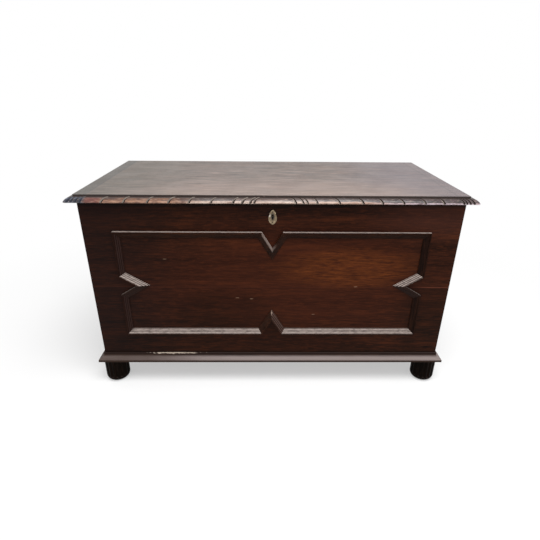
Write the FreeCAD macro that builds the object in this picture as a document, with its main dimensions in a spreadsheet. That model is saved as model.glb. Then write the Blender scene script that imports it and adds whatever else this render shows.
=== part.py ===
import FreeCAD, Part
import math
import os
import Sketcher

# Coffer chest: a boarded carcass on a moulded plinth with four reeded feet, a hinged lid with a
# moulded edge, a geometric moulding planted on the front, and a box lock under the lid.
# Units are millimetres. +X runs to the right of the front, +Y to the back and +Z up. The origin
# is on the floor, under the middle of the whole chest.

# ---------------------------------------------------------------------------------------------
# Driving dimensions
# ---------------------------------------------------------------------------------------------

SIZES = {
    # carcass
    "body_width": 1000.0,
    "body_depth": 470.0,
    "carcass_height": 466.0,
    "board": 19.0,
    "corner_lip": 7.0,
    "back_board": 16.0,
    "front_joint_drop": 245.0,
    "side_joint_drop": 228.0,
    "back_joint_drop": 236.0,
    "bottom_board": 12.0,
    # plinth
    "rail_height": 24.5,
    "rail_width": 70.0,
    "plinth_overhang": 17.0,
    "plinth_ledge": 3.0,
    "plinth_step": 4.0,
    "plinth_edge": 6.5,
    "back_rail_width": 52.0,
    # feet
    "foot_height": 74.5,
    "foot_radius": 34.5,
    "foot_inset_side": 23.0,
    "foot_inset_front": 17.5,
    "foot_round": 15.0,
    "reed_count": 16.0,
    "reed_depth": 2.6,
    "reed_gap": 5.6,
    "dowel_radius": 12.0,
    "dowel_length": 17.0,
    "dowel_clearance": 0.15,
    # moulding planted on the front
    "panel_inset": 79.0,
    "panel_height": 317.0,
    "panel_drop": 80.5,
    "stick_width": 18.0,
    "stick_thickness": 9.0,
    "stick_fillet": 3.2,
    "stick_step": 1.2,
    "stick_thin": 2.6,
    "stick_margin": 1.6,
    "notch_half": 28.0,
    "notch_depth": 46.0,
    # lid
    "lid_gap": 0.3,
    "lid_thickness": 18.0,
    "lid_overhang": 23.5,
    "lid_edge_width": 50.0,
    "lid_arris": 5.0,
    "lid_quirk": 4.2,
    "lid_ledge": 1.5,
    "lid_nose": 3.4,
    # hinges
    "hinge_inset": 150.0,
    "hinge_length": 51.0,
    "leaf_width": 14.0,
    "leaf_thickness": 2.0,
    "knuckle_radius": 3.5,
    "knuckle_gap": 0.3,
    "hinge_set": 0.3,
    "pin_radius": 1.6,
    "pin_clearance": 0.05,
    "pin_overrun": 1.5,
    # screws
    "screw_length": 12.0,
    "screw_shank": 1.6,
    "screw_clearance": 0.1,
    "leaf_screw_reach": 17.0,
    # lock
    "lock_plate_width": 92.0,
    "lock_plate_height": 62.0,
    "lock_plate": 2.0,
    "selvedge_width": 13.0,
    "lock_box_width": 72.0,
    "lock_box_height": 54.0,
    "lock_box_depth": 9.2,
    "lock_wall": 1.4,
    "lock_cap": 1.2,
    "loop_spacing": 34.0,
    "loop_thickness": 3.0,
    "loop_depth": 6.0,
    "loop_drop": 12.0,
    "loop_clearance": 0.4,
    "loop_hole_height": 4.4,
    "loop_hole_width": 3.8,
    "loop_hole_drop": 7.0,
    "bolt_travel": 8.0,
    "bolt_clearance": 0.3,
    "bolt_height": 9.0,
    "bolt_drop": 14.5,
    "bolt_finger": 8.0,
    "bolt_post": 4.0,
    "bolt_talon": 3.5,
    "guide_radius": 2.0,
    "drill_pin_radius": 1.5,
    "keyhole_drop": 36.0,
    "keyhole_radius": 2.6,
    "keyhole_slot": 2.8,
    "keyhole_length": 11.0,
    # escutcheon
    "escutcheon_width": 22.0,
    "escutcheon_height": 40.0,
    "escutcheon_drop": 20.5,
    "escutcheon_thickness": 1.2,
    "escutcheon_tip": 10.5,
    "escutcheon_shoulder": 8.6,
    "escutcheon_nick": 1.5,
    "escutcheon_nick_height": 1.8,
}

BOTTOM_BOARDS = ["front", "middle", "back"]
LID_BOARDS = ["front", "middle", "back"]
KNUCKLES = 3
REEDS_ON_STICK = 3
REED_CURVE = 1.1
TOE_FLATS = 3
ESCUTCHEON_HEAD = 1.8
ESCUTCHEON_BODY = 0.44
OVERCUT = 5.0

doc = FreeCAD.newDocument("coffer_chest")
sheet = doc.addObject("Spreadsheet::Sheet", "sizes")
for row, (alias, value) in enumerate(SIZES.items(), start=1):
    sheet.set("A%d" % row, alias.replace("_", " "))
    sheet.set("B%d" % row, str(value))
    sheet.setAlias("B%d" % row, alias)
doc.recompute()


class Dim:
    """A size worked out from the sheet: the expression FreeCAD keeps, and its value now."""

    def __init__(self, text, value):
        self.text = text
        self.value = value

    def __add__(self, other):
        other = dim(other)
        return Dim("(%s + %s)" % (self.text, other.text), self.value + other.value)

    def __radd__(self, other):
        return dim(other) + self

    def __sub__(self, other):
        other = dim(other)
        return Dim("(%s - %s)" % (self.text, other.text), self.value - other.value)

    def __rsub__(self, other):
        return dim(other) - self

    def __mul__(self, other):
        other = dim(other)
        return Dim("(%s * %s)" % (self.text, other.text), self.value * other.value)

    def __rmul__(self, other):
        return dim(other) * self

    def __truediv__(self, other):
        other = dim(other)
        return Dim("(%s / %s)" % (self.text, other.text), self.value / other.value)

    def __rtruediv__(self, other):
        return dim(other) / self

    def __neg__(self):
        return Dim("(0 - %s)" % self.text, -self.value)


def dim(number):
    """A plain number as a Dim, and a Dim as it is."""
    if isinstance(number, Dim):
        return number
    return Dim(repr(float(number)), float(number))


def root(square):
    return Dim("sqrt(%s)" % square.text, math.sqrt(square.value))


def slope_angle(rise, run):
    """The angle in degrees of a slope that rises so much over a run."""
    angle = math.degrees(math.atan2(rise.value, run.value))
    return Dim("(atan(%s / %s) / 1 deg)" % (rise.text, run.text), angle)


class Sizes:
    pass


size = Sizes()
for alias, value in SIZES.items():
    setattr(size, alias, Dim("sizes." + alias, value))

# Places that several pieces share, worked out from the driving dimensions.
half_width = size.body_width / 2
hinge_reach = size.hinge_set + 2 * size.knuckle_radius
chest_depth = size.lid_overhang + size.body_depth + hinge_reach
front_y = size.lid_overhang - chest_depth / 2
inner_front_y = front_y + size.board
back_y = front_y + size.body_depth
carcass_z = size.foot_height + size.rail_height
rim_z = carcass_z + size.carcass_height
lid_z = rim_z + size.lid_gap
pin_y = back_y + size.hinge_set + size.knuckle_radius
pin_z = rim_z + size.lid_gap / 2
lid_edge_inset = size.lid_edge_width - size.lid_overhang
hinge_x = half_width - size.hinge_inset
loop_y = -(size.lock_plate + size.lock_box_depth) / 2

PIECES = []
CUTS = []


# ---------------------------------------------------------------------------------------------
# Helpers
# ---------------------------------------------------------------------------------------------

def drive(feature, **settings):
    """Bind properties of a feature to the sheet."""
    for name, value in settings.items():
        feature.setExpression(name, dim(value).text)


def place(feature, x=0.0, y=0.0, z=0.0, axis=(0, 0, 1), turn=0.0):
    """Put a piece at its place in the chest, turned about one axis."""
    turn = dim(turn)
    rotation = FreeCAD.Rotation(FreeCAD.Vector(*axis), turn.value)
    feature.Placement = FreeCAD.Placement(FreeCAD.Vector(0, 0, 0), rotation)
    feature.setExpression("Placement.Base.x", dim(x).text)
    feature.setExpression("Placement.Base.y", dim(y).text)
    feature.setExpression("Placement.Base.z", dim(z).text)
    if "sizes." in turn.text:
        feature.setExpression("Placement.Rotation.Angle", turn.text)


def new_body(name):
    body = doc.addObject("PartDesign::Body", name)
    body.Label = name
    PIECES.append(body)
    return body


def new_sketch(body, role, lift=0.0):
    """A sketch on one of the body's origin planes, lifted along that plane's normal."""
    sketch = body.newObject("Sketcher::SketchObject", "sketch")
    planes = [plane for plane in body.Origin.OriginFeatures if plane.Role == role]
    sketch.AttachmentSupport = [(planes[0], "")]
    sketch.MapMode = "FlatFace"
    sketch.setExpression("AttachmentOffset.Base.z", dim(lift).text)
    return sketch


def pin_down(sketch, geometry, end, x, y):
    """Hold one point of the sketch at x and y from the sketch's origin."""
    for kind, value in (("DistanceX", dim(x)), ("DistanceY", dim(y))):
        index = sketch.addConstraint(Sketcher.Constraint(kind, -1, 1, geometry, end, value.value))
        name = "%s_%d" % (kind, index)
        sketch.renameConstraint(index, name)
        sketch.setExpression("Constraints." + name, value.text)


def hold_radius(sketch, geometry, radius):
    index = sketch.addConstraint(Sketcher.Constraint("Radius", geometry, radius.value))
    name = "Radius_%d" % index
    sketch.renameConstraint(index, name)
    sketch.setExpression("Constraints." + name, radius.text)


def arc_between(start, end, radius, side):
    """The short arc from start to end that bulges to the left (side 1) or the right (side -1)."""
    chord = end - start
    left = FreeCAD.Vector(-chord.y, chord.x, 0).normalize()
    reach = math.sqrt(max(radius * radius - chord.Length * chord.Length / 4, 0))
    centre = (start + end) / 2 - left * side * reach
    circle = Part.Circle(centre, FreeCAD.Vector(0, 0, 1), radius)
    first, last = (end, start) if side > 0 else (start, end)
    return Part.ArcOfCircle(circle, circle.parameter(first), circle.parameter(last))


def outline(sketch, corners):
    """Draw a closed outline. A corner is (x, y), or (x, y, radius, side) before an arc."""
    count = len(corners)
    points = [FreeCAD.Vector(dim(c[0]).value, dim(c[1]).value, 0) for c in corners]
    ends = []
    for i, corner in enumerate(corners):
        start, end = points[i], points[(i + 1) % count]
        if len(corner) == 2:
            index = sketch.addGeometry(Part.LineSegment(start, end), False)
            ends.append((index, 1, 2))
        else:
            radius, side = dim(corner[2]), corner[3]
            index = sketch.addGeometry(arc_between(start, end, radius.value, side), False)
            ends.append((index, 2, 1) if side > 0 else (index, 1, 2))
    for i, corner in enumerate(corners):
        this, after = ends[i], ends[(i + 1) % count]
        sketch.addConstraint(Sketcher.Constraint("Coincident", this[0], this[2], after[0], after[1]))
        pin_down(sketch, this[0], this[1], corner[0], corner[1])
        if len(corner) == 4:
            hold_radius(sketch, this[0], dim(corner[2]))


def rectangle(sketch, x0, y0, x1, y1):
    outline(sketch, [(x0, y0), (x1, y0), (x1, y1), (x0, y1)])


def circle(sketch, x, y, radius):
    centre = FreeCAD.Vector(dim(x).value, dim(y).value, 0)
    shape = Part.Circle(centre, FreeCAD.Vector(0, 0, 1), dim(radius).value)
    index = sketch.addGeometry(shape, False)
    pin_down(sketch, index, 3, x, y)
    hold_radius(sketch, index, dim(radius))


def pad(body, sketch, length, along=1, both=False):
    """Extrude a sketch along its normal (1), against it (-1), or half each way."""
    feature = body.newObject("PartDesign::Pad", "pad")
    feature.Profile = sketch
    drive(feature, Length=length)
    feature.Reversed = along < 0
    if both:
        feature.SideType = "Symmetric"
    sketch.Visibility = False
    return feature


def pocket(body, sketch, depth, along=-1, both=False, taper=0.0):
    """Cut a sketch out of the body along its normal (1), against it (-1), or half each way."""
    feature = body.newObject("PartDesign::Pocket", "pocket")
    feature.Profile = sketch
    drive(feature, Length=depth)
    feature.Reversed = along > 0
    feature.TaperAngle = taper
    if both:
        feature.SideType = "Symmetric"
    sketch.Visibility = False
    CUTS.append(feature)
    return feature


def drill(body, role, holes, radius, depth, along):
    """Round holes at the given places of a plane."""
    sketch = new_sketch(body, role)
    for x, y in holes:
        circle(sketch, x, y, radius)
    return pocket(body, sketch, depth, along)


def countersink(body, role, holes, plate, along, lift=0.0):
    """Holes through a plate for screws whose heads are as deep as the plate is thick."""
    sketch = new_sketch(body, role, lift)
    for x, y in holes:
        circle(sketch, x, y, size.screw_shank + plate + size.screw_clearance)
    pocket(body, sketch, plate, along, taper=-45.0)


def plain_board(name, x0, y0, x1, y1, height, along=1):
    """A board with a rectangular plan, standing on or hanging from its local XY plane."""
    body = new_body(name)
    sketch = new_sketch(body, "XY_Plane")
    rectangle(sketch, x0, y0, x1, y1)
    pad(body, sketch, height, along)
    return body


# ---------------------------------------------------------------------------------------------
# Carcass
# ---------------------------------------------------------------------------------------------

def keyhole(body, role, drop, depth, along, lift=0.0):
    """A keyhole: a round hole with a slot under it, as one outline each."""
    round_hole = new_sketch(body, role, lift)
    circle(round_hole, 0, -drop, size.keyhole_radius)
    pocket(body, round_hole, depth, along)
    slot = new_sketch(body, role, lift)
    rectangle(slot, -size.keyhole_slot / 2, -(drop + size.keyhole_length),
              size.keyhole_slot / 2, -drop)
    pocket(body, slot, depth, along)


def front_board(name, top, height):
    """A board of the front, rebated at both ends over the side boards."""
    body = new_body(name)
    inner = half_width - size.board
    sketch = new_sketch(body, "XY_Plane")
    outline(sketch, [
        (-half_width, 0), (half_width, 0), (half_width, size.corner_lip),
        (inner, size.corner_lip), (inner, size.board), (-inner, size.board),
        (-inner, size.corner_lip), (-half_width, size.corner_lip)])
    pad(body, sketch, height, -1)
    place(body, 0, front_y, top)
    return body


def front():
    upper = front_board("front_board_upper", rim_z, size.front_joint_drop)
    # Sinkings for the lock: its plate on the inner face, its selvedge on the rim, and its box.
    plate = new_sketch(upper, "XZ_Plane", -size.board)
    rectangle(plate, -size.lock_plate_width / 2, -size.lock_plate_height,
              size.lock_plate_width / 2, 0)
    pocket(upper, plate, size.lock_plate, 1)
    selvedge = new_sketch(upper, "XY_Plane")
    rectangle(selvedge, -size.lock_plate_width / 2, size.board - size.selvedge_width,
              size.lock_plate_width / 2, size.board)
    pocket(upper, selvedge, size.lock_plate, -1)
    box = new_sketch(upper, "XZ_Plane", -size.board)
    rectangle(box, -size.lock_box_width / 2, -size.lock_box_height, size.lock_box_width / 2, 0)
    pocket(upper, box, size.lock_box_depth + size.lock_cap, 1)
    keyhole(upper, "XZ_Plane", size.keyhole_drop, size.board, -1)
    lower = size.carcass_height - size.front_joint_drop
    front_board("front_board_lower", rim_z - size.front_joint_drop, lower)


def side_board(name, hand, top, height):
    """A board of one end. Its back edge is rebated for the back boards."""
    body = new_body(name)
    rebate = size.body_depth - size.back_board
    sketch = new_sketch(body, "XY_Plane")
    outline(sketch, [
        (0, size.corner_lip), (-hand * size.board, size.corner_lip),
        (-hand * size.board, rebate), (-hand * size.corner_lip, rebate),
        (-hand * size.corner_lip, size.body_depth), (0, size.body_depth)])
    pad(body, sketch, height, -1)
    place(body, hand * half_width, front_y, top)


def sides():
    lower = size.carcass_height - size.side_joint_drop
    for side, hand in (("left", -1), ("right", 1)):
        side_board("side_%s_upper" % side, hand, rim_z, size.side_joint_drop)
        side_board("side_%s_lower" % side, hand, rim_z - size.side_joint_drop, lower)


def back():
    reach = half_width - size.corner_lip
    upper = plain_board("back_board_upper", -reach, -size.back_board, reach, 0,
                        size.back_joint_drop, -1)
    place(upper, 0, back_y, rim_z)
    for hand in (-1, 1):
        middle = hand * hinge_x
        seat = new_sketch(upper, "XY_Plane")
        rectangle(seat, middle - size.hinge_length / 2, -size.leaf_width,
                  middle + size.hinge_length / 2, 0)
        pocket(upper, seat, size.leaf_thickness, -1)
    lower = plain_board("back_board_lower", -reach, -size.back_board, reach, 0,
                        size.carcass_height - size.back_joint_drop, -1)
    place(lower, 0, back_y, rim_z - size.back_joint_drop)


def bottom():
    """The floor of the chest: boards that lie on the plinth rails between the walls."""
    reach = half_width - size.board
    width = (size.body_depth - size.board - size.back_board) / len(BOTTOM_BOARDS)
    for number, name in enumerate(BOTTOM_BOARDS):
        board = plain_board("bottom_board_" + name, -reach, 0, reach, width, size.bottom_board)
        place(board, 0, inner_front_y + number * width, carcass_z)


# ---------------------------------------------------------------------------------------------
# Moulded rails: the plinth and the lid's edge share their making
# ---------------------------------------------------------------------------------------------

def flipped(profile, hand):
    """A profile in (outward, up) turned to a sketch whose first axis points outward or inward."""
    corners = []
    for corner in profile:
        if len(corner) == 2:
            corners.append((hand * corner[0], corner[1]))
        else:
            corners.append((hand * corner[0], corner[1], corner[2], hand * corner[3]))
    return corners


def moulded_front(name, profile, overhang, width, height):
    """A moulded rail along the front, mitred at both ends."""
    body = new_body(name)
    section = new_sketch(body, "YZ_Plane")
    outline(section, flipped(profile, -1))
    pad(body, section, size.body_width + 2 * overhang, both=True)
    outer = half_width + overhang
    for hand in (-1, 1):
        mitre = new_sketch(body, "XY_Plane")
        outline(mitre, [
            (hand * (outer + OVERCUT), -(overhang + OVERCUT)),
            (hand * (outer - width - OVERCUT), width - overhang + OVERCUT),
            (hand * (outer + OVERCUT), width - overhang + OVERCUT)])
        pocket(body, mitre, height + OVERCUT, 1)
    return body


def moulded_side(name, hand, profile, overhang, width, height):
    """A moulded rail along one end, mitred at the front and square at the back."""
    body = new_body(name)
    section = new_sketch(body, "XZ_Plane", overhang)
    outline(section, flipped(profile, hand))
    pad(body, section, size.body_depth + overhang, -1)
    mitre = new_sketch(body, "XY_Plane")
    outline(mitre, [
        (hand * (overhang + OVERCUT), -(overhang + OVERCUT)),
        (hand * (overhang - width - OVERCUT), width - overhang + OVERCUT),
        (hand * (overhang - width - OVERCUT), -(overhang + OVERCUT))])
    pocket(body, mitre, height + OVERCUT, 1)
    return body


def plinth_profile():
    """Inner edge, a ledge at the carcass's foot, a quirk, a hollow and a square edge."""
    inner = -(size.rail_width - size.plinth_overhang)
    hollow_top = size.rail_height - size.plinth_step
    hollow_radius = root((size.plinth_overhang - size.plinth_ledge) *
                         (hollow_top - size.plinth_edge))
    return [
        (inner, 0), (size.plinth_overhang, 0),
        (size.plinth_overhang, size.plinth_edge, hollow_radius * 1.02, 1),
        (size.plinth_ledge, hollow_top), (size.plinth_ledge, size.rail_height),
        (inner, size.rail_height)]


def plinth():
    socket = size.dowel_radius + size.dowel_clearance
    depth = size.dowel_length + size.dowel_clearance
    profile = plinth_profile()
    rail = moulded_front("plinth_front", profile, size.plinth_overhang, size.rail_width,
                         size.rail_height)
    reach = half_width - size.foot_inset_side
    spots = [(-reach, size.foot_inset_front), (reach, size.foot_inset_front)]
    drill(rail, "XY_Plane", spots, socket, depth, 1)
    place(rail, 0, front_y, size.foot_height)
    for side, hand in (("left", -1), ("right", 1)):
        rail = moulded_side("plinth_" + side, hand, profile, size.plinth_overhang,
                            size.rail_width, size.rail_height)
        spots = [(-hand * size.foot_inset_side, size.foot_inset_front),
                 (-hand * size.foot_inset_side, size.body_depth - size.foot_radius)]
        drill(rail, "XY_Plane", spots, socket, depth, 1)
        place(rail, hand * half_width, front_y, size.foot_height)
    reach = half_width + size.plinth_overhang - size.rail_width
    rail = plain_board("plinth_back", -reach, -size.back_rail_width, reach, 0, size.rail_height)
    place(rail, 0, back_y, size.foot_height)


# ---------------------------------------------------------------------------------------------
# Feet
# ---------------------------------------------------------------------------------------------

def foot(name, x, y):
    """A turned drum with a dowel on top, worked with broad reeds between V grooves. The toe of
    each reed is pared round in flats, so that the grooves run out a little above the floor."""
    body = new_body(name)
    turning = new_sketch(body, "XZ_Plane")
    outline(turning, [
        (0, size.dowel_length), (size.dowel_radius, size.dowel_length), (size.dowel_radius, 0),
        (size.foot_radius, 0), (size.foot_radius, -size.foot_height), (0, -size.foot_height)])
    drum = body.newObject("PartDesign::Revolution", "drum")
    drum.Profile = turning
    drum.ReferenceAxis = (turning, ["V_Axis"])
    turning.Visibility = False
    mouth = size.reed_gap / 2
    mouth_x = root(size.foot_radius * size.foot_radius - mouth * mouth)
    clear_x = size.foot_radius + OVERCUT
    groove = new_sketch(body, "XY_Plane")
    groove.setExpression("AttachmentOffset.Rotation.Angle", "180 / %s" % size.reed_count.text)
    outline(groove, [(size.foot_radius - size.reed_depth, 0), (mouth_x, -mouth),
                     (clear_x, -mouth), (clear_x, mouth), (mouth_x, mouth)])
    cut = pocket(body, groove, size.foot_height + OVERCUT, -1)
    # The waste under one reed's toe, cut wider than the reed. It meets its neighbours' waste in
    # the grooves between the reeds.
    toe = []
    for step in range(TOE_FLATS + 1):
        turn = math.pi / 2 * step / TOE_FLATS
        toe.append((size.foot_radius - size.foot_round * (1 - math.cos(turn)),
                    size.foot_round * (1 - math.sin(turn)) - size.foot_height))
    waste = new_sketch(body, "XZ_Plane")
    outline(waste, toe + [(clear_x, -size.foot_height), (clear_x, toe[0][1])])
    paring = pocket(body, waste, 8 * size.foot_radius / size.reed_count, both=True)
    reeds = body.newObject("PartDesign::PolarPattern", "reeds")
    reeds.Originals = [cut, paring]
    reeds.Axis = (groove, ["N_Axis"])
    reeds.Angle = 360
    drive(reeds, Occurrences=size.reed_count)
    body.Tip = reeds
    CUTS.append(reeds)
    place(body, x, y, size.foot_height)


def feet():
    reach_x = half_width - size.foot_inset_side
    for side, hand in (("left", -1), ("right", 1)):
        foot("foot_front_" + side, hand * reach_x, front_y + size.foot_inset_front)
        foot("foot_back_" + side, hand * reach_x, back_y - size.foot_radius)


# ---------------------------------------------------------------------------------------------
# Moulding planted on the front
# ---------------------------------------------------------------------------------------------

def stick(name, start_x, start_z, turn, length, start_cut, end_cut):
    """One stick of the moulding. Its outer edge starts at a point of the front and runs along
    the turned X axis. Each cut is how much later the inner edge starts, or sooner it ends."""
    body = new_body(name)
    plan = new_sketch(body, "XZ_Plane")
    outline(plan, [(0, 0), (length, 0), (length - end_cut, size.stick_width),
                   (start_cut, size.stick_width)])
    pad(body, plan, size.stick_thickness)
    # Everything above the fillet, the reeds and the thin inner edge is planed away.
    high = size.stick_thickness + OVERCUT
    wide = size.stick_width + OVERCUT
    reed_start = size.stick_thickness - size.stick_step
    reed_run = (size.stick_width - size.stick_margin - size.stick_fillet) / REEDS_ON_STICK
    reed_fall = (reed_start - size.stick_thin) / REEDS_ON_STICK
    reed_radius = root(reed_run * reed_run + reed_fall * reed_fall) * REED_CURVE
    waste = [(-high, size.stick_fillet)]
    for number in range(REEDS_ON_STICK):
        waste.append((number * reed_fall - reed_start, size.stick_fillet + number * reed_run,
                      reed_radius, 1))
    waste += [(-size.stick_thin, size.stick_width - size.stick_margin),
              (-size.stick_thin, wide), (-high, wide)]
    section = new_sketch(body, "YZ_Plane")
    outline(section, waste)
    pocket(body, section, 2 * (length + 3 * size.stick_width + size.notch_depth), both=True)
    place(body, start_x, front_y, start_z, (0, -1, 0), turn)


def panel_moulding():
    """A rectangle of moulding with a V notch pointing inwards in the middle of each side."""
    half = half_width - size.panel_inset
    top = rim_z - size.panel_drop
    foot_z = top - size.panel_height
    middle = top - size.panel_height / 2
    arm = root(size.notch_half * size.notch_half + size.notch_depth * size.notch_depth)
    lean = slope_angle(size.notch_depth, size.notch_half)
    corner_cut = size.stick_width
    bend_cut = size.stick_width * (arm - size.notch_half) / size.notch_depth
    tip_cut = -(size.stick_width * size.notch_depth / size.notch_half)
    # Each side runs round the rectangle with the field on its left: name, turn of its direction,
    # length, middle point, direction and inward direction.
    runs = [
        ("bottom", ("left", "right"), 0, 2 * half, (0, foot_z), (1, 0), (0, 1)),
        ("right", ("lower", "upper"), 90, size.panel_height, (half, middle), (0, 1), (-1, 0)),
        ("top", ("right", "left"), 180, 2 * half, (0, top), (-1, 0), (0, -1)),
        ("left", ("upper", "lower"), 270, size.panel_height, (-half, middle), (0, -1), (1, 0))]
    for side, (first, second), turn, length, (mid_x, mid_z), along, inward in runs:
        straight = length / 2 - size.notch_half

        def spot(forward, inside):
            x = mid_x + along[0] * forward + inward[0] * inside
            z = mid_z + along[1] * forward + inward[1] * inside
            return x, z

        starts = [spot(-length / 2, dim(0)), spot(-size.notch_half, dim(0)),
                  spot(dim(0), size.notch_depth), spot(size.notch_half, dim(0))]
        stick("moulding_%s_%s" % (side, first), *starts[0], turn, straight, corner_cut, bend_cut)
        stick("notch_%s_%s" % (side, first), *starts[1], turn + lean, arm, bend_cut, tip_cut)
        stick("notch_%s_%s" % (side, second), *starts[2], turn - lean, arm, tip_cut, bend_cut)
        stick("moulding_%s_%s" % (side, second), *starts[3], turn, straight, bend_cut, corner_cut)


# ---------------------------------------------------------------------------------------------
# Lid
# ---------------------------------------------------------------------------------------------

def lid_profile():
    """Underside, a round nose, a full convex moulding up to a small ledge, and a square arris."""
    reach = size.lid_overhang
    nose = size.lid_nose
    ledge = size.lid_arris + size.lid_ledge
    ledge_z = size.lid_thickness - size.lid_quirk
    run = reach - ledge
    rise = ledge_z - nose
    swell = (run * run + rise * rise) / (2 * rise)
    return [
        (-lid_edge_inset, 0), (reach - nose, 0, nose, -1), (reach, nose, swell, -1),
        (ledge, ledge_z), (size.lid_arris, ledge_z), (size.lid_arris, size.lid_thickness),
        (-lid_edge_inset, size.lid_thickness)]


def lid():
    profile = lid_profile()
    edge = moulded_front("lid_edge_front", profile, size.lid_overhang, size.lid_edge_width,
                         size.lid_thickness)
    seat = new_sketch(edge, "XY_Plane")
    rectangle(seat, -size.lock_plate_width / 2, size.board - size.selvedge_width,
              size.lock_plate_width / 2, size.board)
    pocket(edge, seat, size.lock_plate, 1)
    place(edge, 0, front_y, lid_z)
    for side, hand in (("left", -1), ("right", 1)):
        edge = moulded_side("lid_edge_" + side, hand, profile, size.lid_overhang,
                            size.lid_edge_width, size.lid_thickness)
        place(edge, hand * half_width, front_y, lid_z)
    reach = half_width - lid_edge_inset
    width = (size.body_depth - lid_edge_inset) / len(LID_BOARDS)
    for number, name in enumerate(LID_BOARDS):
        board = plain_board("lid_board_" + name, -reach, -width, reach, 0, size.lid_thickness)
        place(board, 0, front_y + lid_edge_inset + (number + 1) * width, lid_z)
    # The board along the back carries the hinges on its underside.
    for hand in (-1, 1):
        middle = hand * hinge_x
        seat = new_sketch(board, "XY_Plane")
        rectangle(seat, middle - size.hinge_length / 2, -size.leaf_width,
                  middle + size.hinge_length / 2, 0)
        pocket(board, seat, size.leaf_thickness, 1)


# ---------------------------------------------------------------------------------------------
# Hinges
# ---------------------------------------------------------------------------------------------

def hinge_leaf(name, hand, owned, bore, up):
    """A leaf with its knuckles. Local origin: the pin's axis at the hinge's middle.
    owned are the numbers of its knuckles, and up is 1 for the lid's leaf, -1 for the carcass's."""
    body = new_body(name)
    pitch = size.hinge_length / KNUCKLES
    wood = -(size.knuckle_radius + size.hinge_set)
    back_edge = wood - size.leaf_width
    start = -size.hinge_length / 2
    plan = [(start, back_edge), (-start, back_edge), (-start, wood)]
    for number in reversed(owned):
        far = start + (number + 1) * pitch - size.knuckle_gap / 2
        near = start + number * pitch + size.knuckle_gap / 2
        if number == KNUCKLES - 1:
            plan.pop()
            far = -start
        if number == 0:
            near = start
        plan += [(far, wood), (far, 0), (near, 0), (near, wood)]
    if owned[0] == 0:
        plan.pop()
    else:
        plan.append((start, wood))
    if owned[-1] == KNUCKLES - 1:
        plan.remove(plan[2])
    sketch = new_sketch(body, "XY_Plane", up * size.lid_gap / 2)
    outline(sketch, plan)
    pad(body, sketch, size.leaf_thickness, up)
    for number in owned:
        near = start + number * pitch + (size.knuckle_gap / 2 if number > 0 else dim(0))
        far = start + (number + 1) * pitch
        if number < KNUCKLES - 1:
            far = far - size.knuckle_gap / 2
        knuckle = new_sketch(body, "YZ_Plane", near)
        circle(knuckle, 0, 0, size.knuckle_radius)
        pad(body, knuckle, far - near)
    hole = new_sketch(body, "YZ_Plane")
    circle(hole, 0, 0, bore)
    pocket(body, hole, size.hinge_length + OVERCUT, both=True)
    spots = [(step * size.leaf_screw_reach, wood - size.leaf_width / 2) for step in (-1, 1)]
    countersink(body, "XY_Plane", spots, size.leaf_thickness, up, up * size.lid_gap / 2)
    place(body, hand * hinge_x, pin_y, pin_z)


def hinges():
    for side, hand in (("left", -1), ("right", 1)):
        hinge_leaf("hinge_%s_leaf_carcass" % side, hand, [0, 2], size.pin_radius, -1)
        hinge_leaf("hinge_%s_leaf_lid" % side, hand, [1], size.pin_radius + size.pin_clearance, 1)
        pin = doc.addObject("Part::Cylinder", "hinge_%s_pin" % side)
        pin.Label = "hinge_%s_pin" % side
        drive(pin, Radius=size.pin_radius, Height=size.hinge_length + 2 * size.pin_overrun)
        place(pin, hand * hinge_x - size.hinge_length / 2 - size.pin_overrun,
              pin_y, pin_z, (0, 1, 0), 90)
        PIECES.append(pin)


# ---------------------------------------------------------------------------------------------
# Lock
# ---------------------------------------------------------------------------------------------

bolt_mid_z = -(size.bolt_drop + size.bolt_height / 2)
guide_x = -(size.loop_spacing / 2 + size.loop_thickness / 2 + size.bolt_clearance)


def lock_case():
    """The lock's plate with its selvedge, the rim of its box, the drill pin and a guide stud."""
    body = new_body("lock_case")
    half = size.lock_plate_width / 2
    plate = new_sketch(body, "XZ_Plane")
    rectangle(plate, -half, -size.lock_plate_height, half, 0)
    pad(body, plate, size.lock_plate)
    selvedge = new_sketch(body, "XZ_Plane")
    rectangle(selvedge, -half, -size.lock_plate, half, 0)
    pad(body, selvedge, size.selvedge_width)
    box = size.lock_box_width / 2
    rim = new_sketch(body, "XZ_Plane")
    rectangle(rim, -box, -size.lock_box_height, box, -size.lock_plate / 2)
    rectangle(rim, size.lock_wall - box, size.lock_wall - size.lock_box_height,
              box - size.lock_wall, -size.lock_plate)
    pad(body, rim, size.lock_box_depth)
    studs = new_sketch(body, "XZ_Plane")
    circle(studs, 0, -size.keyhole_drop, size.drill_pin_radius)
    circle(studs, guide_x, bolt_mid_z, size.guide_radius)
    pad(body, studs, size.lock_box_depth)
    gap = size.loop_clearance
    for hand in (-1, 1):
        middle = hand * size.loop_spacing / 2
        slot = new_sketch(body, "XY_Plane")
        rectangle(slot, middle - size.loop_thickness / 2 - gap,
                  loop_y - size.loop_depth / 2 - gap,
                  middle + size.loop_thickness / 2 + gap,
                  loop_y + size.loop_depth / 2 + gap)
        pocket(body, slot, size.lock_plate + OVERCUT, -1)
    place(body, 0, inner_front_y, rim_z)


def lock_cap():
    body = new_body("lock_cap")
    box = size.lock_box_width / 2
    plate = new_sketch(body, "XZ_Plane", size.lock_box_depth)
    rectangle(plate, -box, -size.lock_box_height, box, -size.lock_plate)
    pad(body, plate, size.lock_cap)
    keyhole(body, "XZ_Plane", size.keyhole_drop, size.lock_cap + OVERCUT, 1, size.lock_box_depth)
    place(body, 0, inner_front_y, rim_z)


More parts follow.
